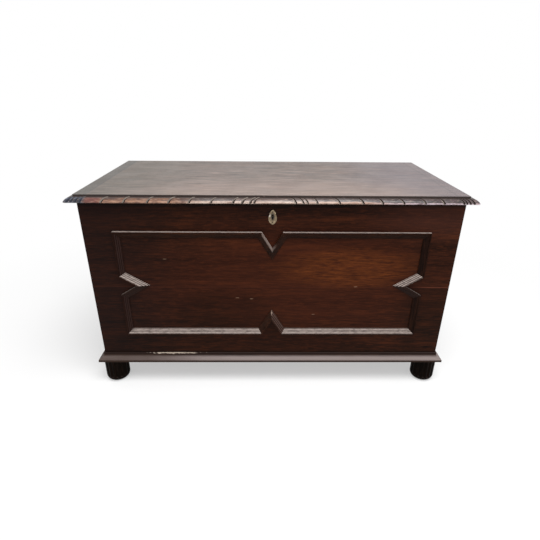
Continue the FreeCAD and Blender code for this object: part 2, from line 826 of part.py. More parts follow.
def lock_bolt():
    """A thick bar on the guide stud with two hooked fingers that enter the loops."""
    body = new_body("lock_bolt")
    inside = size.lock_box_depth - size.lock_plate - 2 * size.bolt_clearance
    finger_y = -loop_y
    top = -size.bolt_drop
    low = top - size.bolt_height
    first = -(size.loop_spacing / 2 + size.loop_thickness / 2 + size.bolt_clearance +
              size.bolt_finger + size.bolt_post)
    last = size.loop_spacing / 2
    bar = new_sketch(body, "XZ_Plane", finger_y)
    outline(bar, [(first, low), (-size.bolt_talon, low), (-size.bolt_talon, low + size.bolt_talon),
                  (size.bolt_talon, low + size.bolt_talon), (size.bolt_talon, low),
                  (last, low), (last, top), (first, top)])
    pad(body, bar, inside, both=True)
    finger_top = -(size.loop_hole_drop - size.loop_hole_height / 2 + size.bolt_clearance)
    finger_low = -(size.loop_hole_drop + size.loop_hole_height / 2 - size.bolt_clearance)
    for hand in (-1, 1):
        tip = hand * size.loop_spacing / 2 - size.loop_thickness / 2 - size.bolt_clearance
        post = tip - size.bolt_finger
        hook = new_sketch(body, "XZ_Plane", finger_y)
        outline(hook, [(post - size.bolt_post, top - size.bolt_clearance),
                       (post, top - size.bolt_clearance), (post, finger_low),
                       (tip, finger_low), (tip, finger_top), (post - size.bolt_post, finger_top)])
        pad(body, hook, size.loop_hole_width - 2 * size.bolt_clearance, both=True)
    slot = new_sketch(body, "XZ_Plane", finger_y)
    reach = size.guide_radius + size.bolt_clearance
    rectangle(slot, guide_x - reach - size.bolt_travel, bolt_mid_z - reach,
              guide_x + reach, bolt_mid_z + reach)
    pocket(body, slot, size.lock_box_depth + OVERCUT, both=True)
    place(body, 0, inner_front_y, rim_z)


def link_plate():
    """The plate under the lid with the two loops that hang into the lock."""
    body = new_body("link_plate")
    half = size.lock_plate_width / 2
    plate = new_sketch(body, "XY_Plane")
    rectangle(plate, -half, -size.selvedge_width, half, 0)
    pad(body, plate, size.lock_plate)
    for hand in (-1, 1):
        middle = hand * size.loop_spacing / 2
        loop = new_sketch(body, "XY_Plane")
        rectangle(loop, middle - size.loop_thickness / 2, loop_y - size.loop_depth / 2,
                  middle + size.loop_thickness / 2, loop_y + size.loop_depth / 2)
        pad(body, loop, size.loop_drop, -1)
    hole = new_sketch(body, "YZ_Plane")
    middle_z = -(size.loop_hole_drop + size.lid_gap)
    rectangle(hole, loop_y - size.loop_hole_width / 2, middle_z - size.loop_hole_height / 2,
              loop_y + size.loop_hole_width / 2, middle_z + size.loop_hole_height / 2)
    pocket(body, hole, size.lock_plate_width, both=True)
    place(body, 0, inner_front_y, lid_z)


def escutcheon():
    """A thin plate round the keyhole: a pointed head, a nick under each of its shoulders, and a
    full body that is rounded at the foot."""
    body = new_body("escutcheon")
    top = -size.escutcheon_drop
    low = top - size.escutcheon_height
    side = size.escutcheon_width / 2
    shoulder_z = top - size.escutcheon_tip
    shoulder = size.escutcheon_shoulder
    neck = shoulder - size.escutcheon_nick
    neck_z = shoulder_z - size.escutcheon_nick_height
    wide_z = (neck_z + low) / 2
    head = size.escutcheon_tip * ESCUTCHEON_HEAD
    body_curve = size.escutcheon_height * ESCUTCHEON_BODY
    plate = new_sketch(body, "XZ_Plane")
    outline(plate, [
        (0, top, head, 1), (shoulder, shoulder_z), (neck, neck_z, body_curve, 1),
        (side, wide_z, body_curve, 1), (0, low, body_curve, 1), (-side, wide_z, body_curve, 1),
        (-neck, neck_z), (-shoulder, shoulder_z, head, 1)])
    pad(body, plate, size.escutcheon_thickness)
    keyhole(body, "XZ_Plane", size.keyhole_drop, size.escutcheon_thickness, 1)
    place(body, 0, front_y, rim_z)


# ---------------------------------------------------------------------------------------------
# Screws of the hinges
# ---------------------------------------------------------------------------------------------

def screw_group(name, z, turn, plate):
    """The countersunk screws of both hinges' leaves on one side. Each has its head's face at the
    origin, a head as deep as the plate, and a shank down the Z axis that bites into the wood."""
    members = []
    for side, hand in (("left", -1), ("right", 1)):
        for step in (-1, 1):
            member = "%s_%s_%d" % (name, side, len(members))
            head = doc.addObject("Part::Cone", member + "_head")
            drive(head, Radius1=size.screw_shank, Radius2=size.screw_shank + plate, Height=plate)
            place(head, 0, 0, -plate)
            shank = doc.addObject("Part::Cylinder", member + "_shank")
            drive(shank, Radius=size.screw_shank, Height=size.screw_length - plate)
            place(shank, 0, 0, -size.screw_length)
            screw = doc.addObject("Part::Fuse", member)
            screw.Base = head
            screw.Tool = shank
            place(screw, hand * hinge_x + step * size.leaf_screw_reach,
                  back_y - size.leaf_width / 2, z, (1, 0, 0), turn)
            members.append(screw)
    group = doc.addObject("Part::Compound", name)
    group.Label = name
    group.Links = members
    PIECES.append(group)


def hinge_screws():
    screw_group("hinge_screws_carcass", rim_z, 0, size.leaf_thickness)
    screw_group("hinge_screws_lid", lid_z, 180, size.leaf_thickness)


# ---------------------------------------------------------------------------------------------
# Build, check and write
# ---------------------------------------------------------------------------------------------

front()
sides()
back()
bottom()
plinth()
feet()
panel_moulding()
lid()
hinges()
lock_case()
lock_cap()
lock_bolt()
link_plate()
escutcheon()
hinge_screws()
doc.recompute()

for item in doc.Objects:
    if "Invalid" in item.State or "Error" in item.State:
        raise RuntimeError("%s (%s) did not build: %s" % (item.Name, item.Label, item.State))
for cut in CUTS:
    base = cut.BaseFeature.Shape.Volume
    if cut.Shape.Volume > base - 1e-6:
        raise RuntimeError("%s in %s cuts nothing" % (cut.Name, cut.getParent().Label))
for piece in PIECES:
    if piece.Shape.isNull() or not piece.Shape.isValid():
        raise RuntimeError("%s has no valid shape" % piece.Label)

os.makedirs("parts", exist_ok=True)
for piece in PIECES:
    piece.Shape.exportStep("parts/%s.step" % piece.Label)
print("%d pieces" % len(PIECES))
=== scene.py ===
# %% [markdown]
# # A coffer chest, dressed
#
# The object is a small mahogany coffer of the 1930s: a chest with a lifting lid, on a moulded plinth and
# four reeded feet, with a mitred panel moulding planted on its front and a carved edge along the lid. Its
# boards, mouldings, hinges and lock arrive ready-made at their real size, so most of them only need a
# finish. What a carver, a turner or an ironmonger would add by hand is modelled here: the gouge cuts along
# the lid's edge, the flutes of the feet, the pins and the screws. Dust, dirt, chips and a split in the
# front are drawn in the finishes, and so are some painted light and painted shade.

# %% The construction, and its box
import math
import random

import bmesh
import bpy
from mathutils import Euler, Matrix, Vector


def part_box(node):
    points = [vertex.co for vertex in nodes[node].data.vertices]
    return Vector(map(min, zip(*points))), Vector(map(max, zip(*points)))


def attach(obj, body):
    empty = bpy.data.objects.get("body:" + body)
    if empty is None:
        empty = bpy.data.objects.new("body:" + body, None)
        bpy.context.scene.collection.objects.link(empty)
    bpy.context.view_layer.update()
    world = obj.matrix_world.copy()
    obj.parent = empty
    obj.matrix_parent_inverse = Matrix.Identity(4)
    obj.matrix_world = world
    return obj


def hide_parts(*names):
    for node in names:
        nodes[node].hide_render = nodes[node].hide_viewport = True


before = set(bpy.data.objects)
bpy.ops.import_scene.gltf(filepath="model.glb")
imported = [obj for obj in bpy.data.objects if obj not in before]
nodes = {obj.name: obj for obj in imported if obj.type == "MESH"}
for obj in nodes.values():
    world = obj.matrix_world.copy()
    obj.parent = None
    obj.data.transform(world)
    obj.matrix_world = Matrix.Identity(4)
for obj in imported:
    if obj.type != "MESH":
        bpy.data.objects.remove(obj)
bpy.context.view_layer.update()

MM = 0.001

# %% [markdown]
# ## Where things are
#
# The front face of the carcass, its rim, the inner faces of its boards and the lid's edge are read off the
# boxes of the pieces themselves, so a finish or a new piece always lands on what carries it. X runs along
# the front to the right, Y to the back and Z up.

# %% Faces that the rest is measured from
front_low, front_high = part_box("front_board_upper")
lower_low, lower_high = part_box("front_board_lower")
edge_low, edge_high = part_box("lid_edge_front")
FRONT = front_low.y
INSIDE_FRONT = front_high.y
INSIDE_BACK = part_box("back_board_upper")[0].y
HALF_WIDTH = front_high.x
RIM = front_high.z
BOARD_JOINT = lower_high.z
CARCASS_FOOT = lower_low.z
SIDE_BOARD = HALF_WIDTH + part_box("bottom_board_front")[0].x
LID_UNDER = edge_low.z
LID_TOP = edge_high.z
LID_NOSE = edge_low.y
print("front at", round(FRONT, 4), "rim at", round(RIM, 4), "lid top at", round(LID_TOP, 4))

# %% [markdown]
# ## The camera
#
# A wide lens close to the chest and a little above its lid: the lid's front edge comes out almost half as
# wide again as its back edge. The camera is turned about its own axes in the order in which a tripod head is
# set: turn, tip, tilt.

# %% Camera
CAMERA_PLACE = (-21.5 * MM, -1258.4 * MM, 849.0 * MM)
CAMERA_TURN = math.radians(-0.88)
CAMERA_TIP = math.radians(24.76)
CAMERA_TILT = math.radians(0.54)
LENS = 27.51
SENSOR = 36.0

bpy.ops.object.camera_add(location=CAMERA_PLACE)
camera = bpy.context.object
camera.name = "camera"
turned = Euler((0, 0, CAMERA_TURN)).to_matrix()
tipped = Euler((math.pi / 2 - CAMERA_TIP, 0, 0)).to_matrix()
tilted = Euler((0, 0, CAMERA_TILT)).to_matrix()
camera.rotation_euler = (turned @ tipped @ tilted).to_euler()
camera.data.lens = LENS
camera.data.sensor_width = SENSOR
bpy.context.scene.camera = camera
bpy.context.scene.view_settings.view_transform = "Standard"
print("camera:", LENS, "mm lens,", round(FRONT - camera.location.y, 3), "m before the front")

# %% [markdown]
# ## Writing a finish as sums
#
# A finish is a graph of small nodes. Drawing such a graph by hand suits a mouse; in a script it reads best
# as arithmetic. `Wire` holds one socket, and a sum written with wires adds the Math nodes for it. Every
# other node comes from its one method `node`: the settings first, then the values or links of its sockets.
# Colours are three numbers as on a paint chart, 0 to 255. The sizes of noise and the reach of masks are in
# millimetres, as they would be read off a ruler; places are in metres.

# %% A socket that can be used in sums
class Wire:
    """One output socket of a material or world; sums on it add Math nodes."""

    def __init__(self, tree, socket=None):
        self.tree = tree
        self.socket = socket

    def node(self, kind, settings, inputs, output=0):
        """Adds a node: its settings, then a value or a link for each socket; gives the chosen output."""
        made = self.tree.nodes.new(kind)
        for setting, value in settings.items():
            setattr(made, setting, value)
        for key, value in inputs.items():
            if isinstance(value, Wire):
                self.tree.links.new(value.socket, made.inputs[key])
            else:
                made.inputs[key].default_value = value
        return Wire(self.tree, made.outputs[output])

    def math(self, operation, first, second=0.0):
        return self.node("ShaderNodeMath", {"operation": operation}, {0: first, 1: second})

    def vector(self, operation, other=(0.0, 0.0, 0.0), output=0):
        return self.node("ShaderNodeVectorMath", {"operation": operation}, {0: self, 1: other}, output)

    def __add__(self, other):
        return self.math("ADD", self, other)

    __radd__ = __add__

    def __sub__(self, other):
        return self.math("SUBTRACT", self, other)

    def __rsub__(self, other):
        return self.math("SUBTRACT", other, self)

    def __mul__(self, other):
        return self.math("MULTIPLY", self, other)

    __rmul__ = __mul__

    def __abs__(self):
        return self.math("ABSOLUTE", self)


# %% Numbers: limits and soft steps
def at_most(value, limit):
    """The value, held down to the limit."""
    return value.math("MINIMUM", value, limit)


def at_least(value, limit):
    """The value, held up to the limit."""
    return value.math("MAXIMUM", value, limit)


def fade(value, start, end):
    """0 at start, 1 at end, smooth between; start may be above end."""
    limits = {"Value": value, "From Min": start, "From Max": end, "To Min": 0.0, "To Max": 1.0}
    return value.node("ShaderNodeMapRange", {"interpolation_type": "SMOOTHSTEP"}, limits)


def fade_mm(value, start, end):
    """A fade whose limits are millimetres."""
    return fade(value, start * MM, end * MM)


# %% Colours
def colour(red, green, blue):
    """A paint chart's colour as the linear light that a shader works in."""
    parts = [value / 255 for value in (red, green, blue)]
    return [((part + 0.055) / 1.055) ** 2.4 if part > 0.04 else part / 12.92 for part in parts] + [1.0]


def mixed(factor, first, second):
    """The first colour where the factor is 0, the second where it is 1; each a wire or three numbers."""
    first, second = [tone if isinstance(tone, Wire) else colour(*tone) for tone in (first, second)]
    # A Mix node takes its two colours at sockets 6 and 7, and gives the mixed one at output 2.
    return factor.node("ShaderNodeMix", {"data_type": "RGBA"}, {0: factor, 6: first, 7: second}, 2)


def layered(tone, *layers, where=1.0):
    """Lays colours over a tone in turn, each through its own mask and with its own strength."""
    for mask, strength, over in layers:
        tone = mixed(mask * strength * where, tone, over)
    return tone


# %% Places on the object
CORE = 0.35


def axes(place):
    """The three parts of a vector, as wires."""
    return [place.node("ShaderNodeSeparateXYZ", {}, {"Vector": place}, axis) for axis in "XYZ"]


def facing(place):
    """The three parts of the direction that a face looks in."""
    return axes(place.node("ShaderNodeTexCoord", {}, {}, "Normal"))


def ray(place, kind):
    """1 for one kind of ray, 0 for all others."""
    return place.node("ShaderNodeLightPath", {}, {}, f"Is {kind} Ray")


def speckle(place, size, detail=2.0, roughness=0.5):
    """Soft noise round 0.5, whose blots have one size, or a size along each axis."""
    sizes = size if isinstance(size, (list, tuple)) else (size, size, size)
    spread = place.vector("MULTIPLY", [1 / (value * MM) for value in sizes])
    inputs = {"Vector": spread, "Scale": 1.0, "Detail": detail, "Roughness": roughness}
    return place.node("ShaderNodeTexNoise", {}, inputs, "Fac")


def near(place, centre, reach, raggedness=0.0, blot=30):
    """1 near a point, 0 beyond its reach along each axis, with an edge as ragged as asked."""
    offset = place.vector("SUBTRACT", centre).vector("DIVIDE", [value * MM for value in reach])
    distance = offset.vector("LENGTH", output="Value")
    if raggedness:
        distance = distance + (speckle(place, blot, 3.0) - 0.5) * raggedness
    return fade(distance, 1.0, CORE)


# %% Starting and ending a material
def new_finish(name):
    """A new material: gives it, its surface and the place on the object."""
    material = bpy.data.materials.new(name)
    material.use_nodes = True
    surface = material.node_tree.nodes["Principled BSDF"]
    place = Wire(material.node_tree).node("ShaderNodeTexCoord", {}, {}, "Object")
    return material, surface, place


def plug(node, values):
    """Plugs values and wires into a node that is already there."""
    for name, value in values.items():
        if isinstance(value, Wire):
            value.tree.links.new(value.socket, node.inputs[name])
        else:
            node.inputs[name].default_value = value


def paint(piece, material):
    """Makes this the only material of an object."""
    piece.data.materials.clear()
    piece.data.materials.append(material)


def dress(node, material):
    """Gives a ready-made piece its finish."""
    paint(nodes[node], material)


# %% [markdown]
# ## The studio
#
# A dark polished chest shows its surroundings more than its own colour, so the light matters as much as
# the finish. One broad soft lamp hangs above and a little in front, as a softbox would: it leaves the
# upward faces of the mouldings pale and the front dark. The surroundings are white to the eye and to
# reflections, which gives the lid its grey sheen where it is seen at a low angle, and dimmer as a source
# of light. The floor glows as white as they do and fades to plain paint under the chest, where it takes
# the shadow.

# %% Surroundings
SKY_LIGHT = 0.55
WHITE = (1.0, 1.0, 1.0, 1.0)

world = bpy.data.worlds.new("studio")
world.use_nodes = True
bpy.context.scene.world = world
sky = Wire(world.node_tree)
shown = at_most(ray(sky, "Camera") + ray(sky, "Glossy") + ray(sky, "Transmission"), 1.0)
level = SKY_LIGHT + shown * (1.0 - SKY_LIGHT)
plug(world.node_tree.nodes["Background"], {"Color": WHITE, "Strength": level})
print("surroundings: white to the eye,", SKY_LIGHT, "as light")

# %% Softbox
SOFTBOX_PLACE = (0.35, -0.9, 2.5)
SOFTBOX_AIM = (0.0, -0.1, 0.4)
SOFTBOX_WIDTH = 1.8
SOFTBOX_DEPTH = 1.4
SOFTBOX_POWER = 62.0

bpy.ops.object.light_add(type="AREA", location=SOFTBOX_PLACE)
softbox = bpy.context.object
softbox.name = "softbox"
softbox.data.shape = "RECTANGLE"
softbox.data.size = SOFTBOX_WIDTH
softbox.data.size_y = SOFTBOX_DEPTH
softbox.data.energy = SOFTBOX_POWER
softbox.rotation_euler = (Vector(SOFTBOX_AIM) - softbox.location).to_track_quat("-Z", "Y").to_euler()
print("softbox:", SOFTBOX_POWER, "W over", SOFTBOX_WIDTH, "by", SOFTBOX_DEPTH, "m")

# %% Floor
FLOOR_REACH = 9.0
FLOOR_SIDES = 96
FLOOR_PAINT = {"Base Color": (0.94, 0.94, 0.94, 1.0), "Roughness": 0.9}
SHADOW_FROM = 0.6
SHADOW_TO = 1.6
SHADOW_FILL = 0.45

bpy.ops.object.select_all(action="DESELECT")
bpy.ops.mesh.primitive_circle_add(vertices=FLOOR_SIDES, radius=FLOOR_REACH, fill_type="NGON")
floor = bpy.context.object
floor.name = "floor"
floor_paint, floor_surface, floor_place = new_finish("floor_paint")
plug(floor_surface, FLOOR_PAINT)
distance = floor_place.vector("LENGTH", output="Value")
open_floor = SHADOW_FILL + (1.0 - SHADOW_FILL) * fade(distance, SHADOW_FROM, SHADOW_TO)
glowing = open_floor * (ray(floor_place, "Camera") + ray(floor_place, "Glossy"))
painted = Wire(floor_place.tree, floor_surface.outputs["BSDF"])
glow = floor_place.node("ShaderNodeEmission", {}, {"Color": WHITE, "Strength": 1.0})
floor_look = floor_place.node("ShaderNodeMixShader", {}, {0: glowing, 1: painted, 2: glow})
plug(floor_paint.node_tree.nodes["Material Output"], {"Surface": floor_look})
paint(floor, floor_paint)
print("floor:", 2 * FLOOR_REACH, "m across")

# %% [markdown]
# ## Mahogany
#
# Mahogany has a fine, straight grain with short dark pores, crossed by broad soft bands where the light
# catches the fibres. In a shader that is the same noise at four sizes, drawn out along the grain: bands
# the width of a thumb, streaks as thin as a straw, pale dashes and dark pores. Each board gets its own
# seed, so that the pattern stops at every joint as it does where two boards meet.

# %% Grain
BAND = (420, 30)
LINE = (60, 4.2)
DASH = (24, 3.2)
PORE = (16, 1.1)
SEED_STEP = (3.17, 1.31, 2.23)


def streaks(place, along, length, width, seed, detail=2.0, roughness=0.5):
    """Noise drawn out along the grain, with streaks of this length and width."""
    sizes = [width, width, width]
    sizes["XYZ".index(along)] = length
    moved = place.vector("ADD", [seed * step for step in SEED_STEP])
    return speckle(moved, sizes, detail, roughness)


def grain(place, along, seed):
    """The bands, the streaks, the dashes and the pores of one board."""
    bands = streaks(place, along, *BAND, seed, 3.0, 0.6)
    lines = streaks(place, along, *LINE, seed + 5, 3.0, 0.65)
    dashes = fade(streaks(place, along, *DASH, seed + 7, 2.0, 0.5), 0.5, 0.66)
    pores = fade(streaks(place, along, *PORE, seed + 9, 1.0), 0.6, 0.74)
    return bands, lines, dashes, pores


# %% Where dust settles and light falls
def upward(place):
    """1 on faces that look up, where dust lies and a sheen is painted, 0 on upright ones."""
    return fade(facing(place)[2], 0.15, 0.75)


def towards_lamp(place):
    """1 on faces tipped up even a little, if they lean to neither side; a lean to the left costs more."""
    x, y, z = facing(place)
    return fade(z - abs(x) * 0.7 + x * 0.4, 0.03, 0.15)


def rightward(place):
    """1 on faces that look to the right, where the lamp stands."""
    return fade(facing(place)[0], 0.1, 0.6)


# %% The wood itself
COMMON_DUST_AND_LIGHT = (120, 104, 98)
BAND_CONTRAST = 1.3
LINE_CONTRAST = 1.5
DASH_STRENGTH = 0.5
PORE_STRENGTH = 0.55
SHEEN_PATCHES = 0.16
PORE_DULLNESS = 0.15
DUST_DULLNESS = 0.12
LINE_HEIGHT = 0.35
PORE_DEPTH = 0.9
GRAIN_RELIEF = {"Strength": 0.25, "Distance": 0.3 * MM}


def wood(name, along, seed, tones, extra=None, sheen=0.36, gloss=0.06, contrast=1.0,
         dust_and_light=0.0, dust_and_light_tone=COMMON_DUST_AND_LIGHT, dust_and_light_faces=upward):
    """Mahogany: its grain runs along one axis, from a dark to a light tone; extra lays the wear over it."""
    material, surface, place = new_finish(name)
    bands, lines, dashes, pores = grain(place, along, seed)
    dark, middle, light = tones
    figure = (bands - 0.5) * (BAND_CONTRAST * contrast) + (lines - 0.5) * (LINE_CONTRAST * contrast) + 0.5
    tone = layered(
        mixed(fade(figure, 0.1, 0.6), dark, middle),
        (fade(figure, 0.5, 1.05), 1.0, light),
        (dashes, DASH_STRENGTH * contrast, light),
        (pores, PORE_STRENGTH, dark),
    )
    roughness = sheen + (speckle(place, 60, 3.0) - 0.5) * SHEEN_PATCHES + pores * PORE_DULLNESS
    height = lines * LINE_HEIGHT - pores * PORE_DEPTH
    # Dust and painted light: a paler tone laid on the faces that the chosen mask picks.
    if dust_and_light:
        dust_and_light_mask = at_most(dust_and_light_faces(place) * (speckle(place, (40, 12, 12), 4.0) * 0.7 + 0.65) * dust_and_light, 1.0)
        tone = mixed(dust_and_light_mask, tone, dust_and_light_tone)
        roughness = roughness + dust_and_light_mask * DUST_DULLNESS
    if extra:
        tone, roughness, height = extra(place, tone, roughness, height)
    relief = {"Height": height, **GRAIN_RELIEF}
    plug(surface, {
        "Base Color": tone,
        "Roughness": roughness,
        "Normal": place.node("ShaderNodeBump", {}, relief, "Normal"),
        "Specular IOR Level": gloss,
    })
    return material


# %% [markdown]
# ## The inside
#
# The inside of the chest was planed and never polished. The front board is one piece of wood with two
# finishes: stained and polished outside, pale and dry inside, and the boundary lies exactly at its inner
# face. So the raw wood isn't a material of its own but a wear that every board's finish ends with.

# %% Raw wood
RAW_WOOD = (139, 98, 66)
RAW_WOOD_DARK = (108, 72, 48)
RAW_THREAD = (92, 60, 40)
RAW_PORE = (70, 45, 30)
SKIN = 0.4 * MM
RAW_DULLNESS = 0.3


def inside_of(place):
    """1 within the chest's cavity and on its walls' inner faces, 0 outside."""
    x, y, z = axes(place)
    across = fade(abs(x), HALF_WIDTH - SIDE_BOARD + SKIN, HALF_WIDTH - SIDE_BOARD)
    return across * fade(y, INSIDE_FRONT - SKIN, INSIDE_FRONT) * fade(y, INSIDE_BACK + SKIN, INSIDE_BACK)


def raw_wood(place, figure=(300, 60, 14)):
    """Wood that was planed and never polished: soft bands, fine threads and darker pores."""
    length, middle, fine = figure
    bands = speckle(place, figure, 4.0, 0.6)
    threads = speckle(place, (length * 0.3, middle * 0.5, fine * 0.22), 3.0, 0.65)
    pores = speckle(place, (length * 0.07, middle * 0.25, fine * 0.11), 1.0)
    return layered(
        mixed(fade(bands, 0.3, 0.7), RAW_WOOD_DARK, RAW_WOOD),
        (fade(threads, 0.42, 0.68), 0.5, RAW_THREAD),
        (fade(pores, 0.6, 0.72), 0.5, RAW_PORE),
    )


def raw_inside(place, tone, roughness, height):
    """Leaves the inner faces unpolished."""
    inner = inside_of(place)
    return mixed(inner, tone, raw_wood(place)), roughness + inner * RAW_DULLNESS, height


# %% [markdown]
# ## The front
#
# The front is the show side: very dark at the left and under the lid, where shade is painted in, redder
# towards the right, with a golden patch in the middle of the panel where polish has worn thin. Two boards
# are joined edge to edge, and the joint shows at the right, beyond the moulding, as a painted highlight.
# Everything here is a mask, a soft shape laid over the grain, and a tone that comes through where the mask
# is 1. The masks are laid one over another in this order: polish and painted shade first, then darker
# places, more painted shade and a paler upper right, then the marks.

# %% Where the front is worn
DEEP = 1000
POLISH_GONE = ((215 * MM, FRONT, 377 * MM), (255, DEEP, 76))
RED_WOOD = ((80 * MM, FRONT, 340 * MM), (600, DEEP, 260))
HOLLOW = ((-140 * MM, FRONT, 245 * MM), (210, DEEP, 80))
UNDER_NOTCH = ((0.0, FRONT, 186 * MM), (34, DEEP, 50))
SPLIT = ((472 * MM, FRONT, 118 * MM), (27, DEEP, 4.2))
SPLIT_DEPTH = 3.0
NICK_REACH = (7, DEEP, 1.8)
NICKS = ((120, 232), (236, 322), (-98, 286), (-58, 283), (-292, 405))
# Near black for the painted shadow under the lid and for the darker band along the foot.
NEAR_BLACK_FRONT = (10, 7, 6)


# %% Wear of the front
def front_polish_and_shade(place, tone, outside):
    """Red wood, the golden patch, painted shade at the left and a painted shadow under the lid."""
    x, y, z = axes(place)
    worn = near(place, *POLISH_GONE, 0.6, (160, DEEP, 16))
    streaky = fade(streaks(place, "X", 44, 4.4, 31, 3.0, 0.7), 0.3, 0.7)
    # Painted shade darkens the left side, and a painted shadow lies under the lid.
    at_left = fade_mm(x, -170, -480) * 0.62
    under_lid = fade_mm(z, 480, 560) * fade_mm(x, 420, 120) * 0.24
    return layered(
        tone,
        (near(place, *RED_WOOD, 0.4, 120), 0.35, (66, 28, 15)),
        (worn * streaky, 0.6, (112, 58, 24)),
        (at_most(at_left + under_lid, 0.8), 1.0, (26, 16, 15)),
        where=outside,
    )


def front_shade(place, tone, outside):
    """Darker hollow, corner, low band and foot, painted shade under the notch and lid, a paler upper right.
    """
    x, y, z = axes(place)
    hollow = near(place, *HOLLOW, 0.4, 90) * 0.35
    corner = fade_mm(x, 330, 430) * fade_mm(z - BOARD_JOINT, 1, -1) * 0.45
    low = fade_mm(z, 250, 110) * fade_mm(x, 460, 100) * 0.25
    # Painted shade under the lower notch.
    notch = near(place, *UNDER_NOTCH, 0.3, 20) * 0.45
    return layered(
        tone,
        (at_most(hollow + corner + low + notch, 0.7), 1.0, (20, 10, 5)),
        (fade_mm(x, 180, 420) * fade_mm(z, 440, 520), 0.45, (74, 42, 34)),
        # Painted shadow under the lid; the band along the foot is darker too.
        (fade_mm(z, 546, 559), 0.7, NEAR_BLACK_FRONT),
        (fade_mm(z - CARCASS_FOOT, 12, 0), 0.5, NEAR_BLACK_FRONT),
        where=outside,
    )


def front_wear(place, tone, roughness, height):
    """All the wear of the front, a painted highlight on its boards' joint, the split, nicks and the raw
    inside.
    """
    x, y, z = axes(place)
    outside = fade(y, INSIDE_FRONT - 2 * MM, FRONT + 2 * MM)
    # A painted highlight along the arris of the boards' joint, strongest at the right.
    seam_highlight = fade_mm(abs(z - BOARD_JOINT), 2.2, 0.6) * (fade_mm(x, 395, 445) * 0.45 + 0.1)
    split = near(place, *SPLIT, 1.1, (11, DEEP, 3.5))
    nicks = [near(place, (across * MM, FRONT, up * MM), NICK_REACH, 1.2, 5) for across, up in NICKS]
    tone = layered(
        front_shade(place, front_polish_and_shade(place, tone, outside), outside),
        (seam_highlight, 1.0, (104, 56, 42)),
        (split, 0.9, (9, 5, 4)),
        *[(nick, 0.42, (150, 120, 98)) for nick in nicks],
        where=outside,
    )
    return raw_inside(place, tone, roughness, height - split * outside * SPLIT_DEPTH)


# %% Dressing the carcass boards
FRONT_TONES = ((20, 10, 6), (43, 21, 12), (72, 35, 18))
SIDE_TONES = ((26, 14, 11), (50, 26, 18), (72, 38, 24))
BOTTOM_TONES = ((104, 70, 47), RAW_WOOD_DARK, RAW_WOOD)

dress("front_board_upper", wood("front_upper", "X", 1, FRONT_TONES, front_wear, gloss=0.04))
dress("front_board_lower", wood("front_lower", "X", 2, FRONT_TONES, front_wear, gloss=0.04))
for count, side in enumerate(("left", "right")):
    for row, part in enumerate(("upper", "lower")):
        side_wood = wood(f"side_{side}_{part}", "Y", 11 + 2 * count + row, SIDE_TONES, raw_inside)
        dress(f"side_{side}_{part}", side_wood)
for row, part in enumerate(("upper", "lower")):
    dress(f"back_board_{part}", wood(f"back_{part}", "X", 21 + row, SIDE_TONES, raw_inside, sheen=0.6))
for row, part in enumerate(("front", "middle", "back")):
    dress(f"bottom_board_{part}", wood(f"bottom_{part}", "X", 25 + row, BOTTOM_TONES, sheen=0.75))
print("boards dressed:", len([name for name in nodes if "board" in name or name.startswith("side")]))

# %% [markdown]
# ## The lid's boards
#
# A lid is what people touch, dust and put cups on, so its polish has gone thin and grey. It is a shade
# paler than the front, and since it is seen at a low angle most of what shows is the room's light on the
# polish. The boards' own grain is only a hint under it, so coarse dark and pale fibres are laid on top.

# %% Wear of the lid
LID_TONES = ((62, 47, 40), (90, 71, 61), (120, 97, 85))
LID_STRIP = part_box("lid_edge_right")[0].x
LID_LIT = ((30 * MM, -230 * MM, LID_TOP), (520, 240, DEEP))
CLOUD_DRIFT = 160 * MM
CLOUD_DULLNESS = 0.06


def lid_fibres(place, tone, top):
    """Coarse fibres and fine threads, each dark on one side of the noise and pale on the other."""
    fibre = streaks(place, "X", 96, 9.5, 77, 4.0, 0.74)
    thread = streaks(place, "X", 70, 3.0, 83, 3.0, 0.7)
    return layered(
        tone,
        (fade(fibre, 0.47, 0.64), 0.8, (40, 29, 23)),
        (fade(fibre, 0.47, 0.32), 0.55, (150, 128, 116)),
        (fade(thread, 0.48, 0.66), 0.6, (34, 24, 19)),
        (fade(thread, 0.46, 0.3), 0.4, (152, 131, 118)),
        where=top,
    )


def lid_strips(place, tone, top):
    """A darker cross strip at the left end, and the joints between the boards and both end strips."""
    x, y, z = axes(place)
    past_joint = abs(x) - LID_STRIP
    left_strip = fade_mm(past_joint, -2, 2) * fade_mm(x, 0, -100)
    joint = fade_mm(abs(past_joint), 4.5, 1.0) * (fade_mm(x, 100, -100) * 0.4 + 0.3)
    return layered(tone, (left_strip, 0.65, (40, 36, 27)), (joint, 1.0, (26, 21, 17)), where=top)


def lid_wear(place, tone, roughness, height):
    """Greyer bloom in clouds, olive painted shade at the left, cooler right, painted light, a raw underside.
    """
    x, y, z = axes(place)
    top = fade_mm(z - LID_TOP, -1.0, -0.2)
    under = fade_mm(z - LID_UNDER, 1.0, 0.2)
    cloud = speckle(place, (240, 110, 100), 3.0)
    ragged_x = x + (cloud - 0.5) * CLOUD_DRIFT
    tone = layered(tone, (fade(cloud, 0.35, 0.7), 0.35, (112, 104, 98)), where=top)
    tone = layered(
        lid_fibres(place, tone, top),
        # Painted shade, olive, over the left, and a painted pool of light towards the front.
        (fade_mm(ragged_x, -160, -420), 0.45, (60, 54, 38)),
        (fade_mm(ragged_x, 150, 420), 0.4, (96, 86, 98)),
        (near(place, *LID_LIT, 0.5, 120), 0.34, (152, 130, 120)),
        where=top,
    )
    within = inside_of(place) * under
    bare = raw_wood(place, (300, 14, 14))
    tone = layered(lid_strips(place, tone, top), (under, 0.75, (74, 44, 30)), (within, 1.0, bare))
    return tone, roughness + within * RAW_DULLNESS + cloud * CLOUD_DULLNESS, height


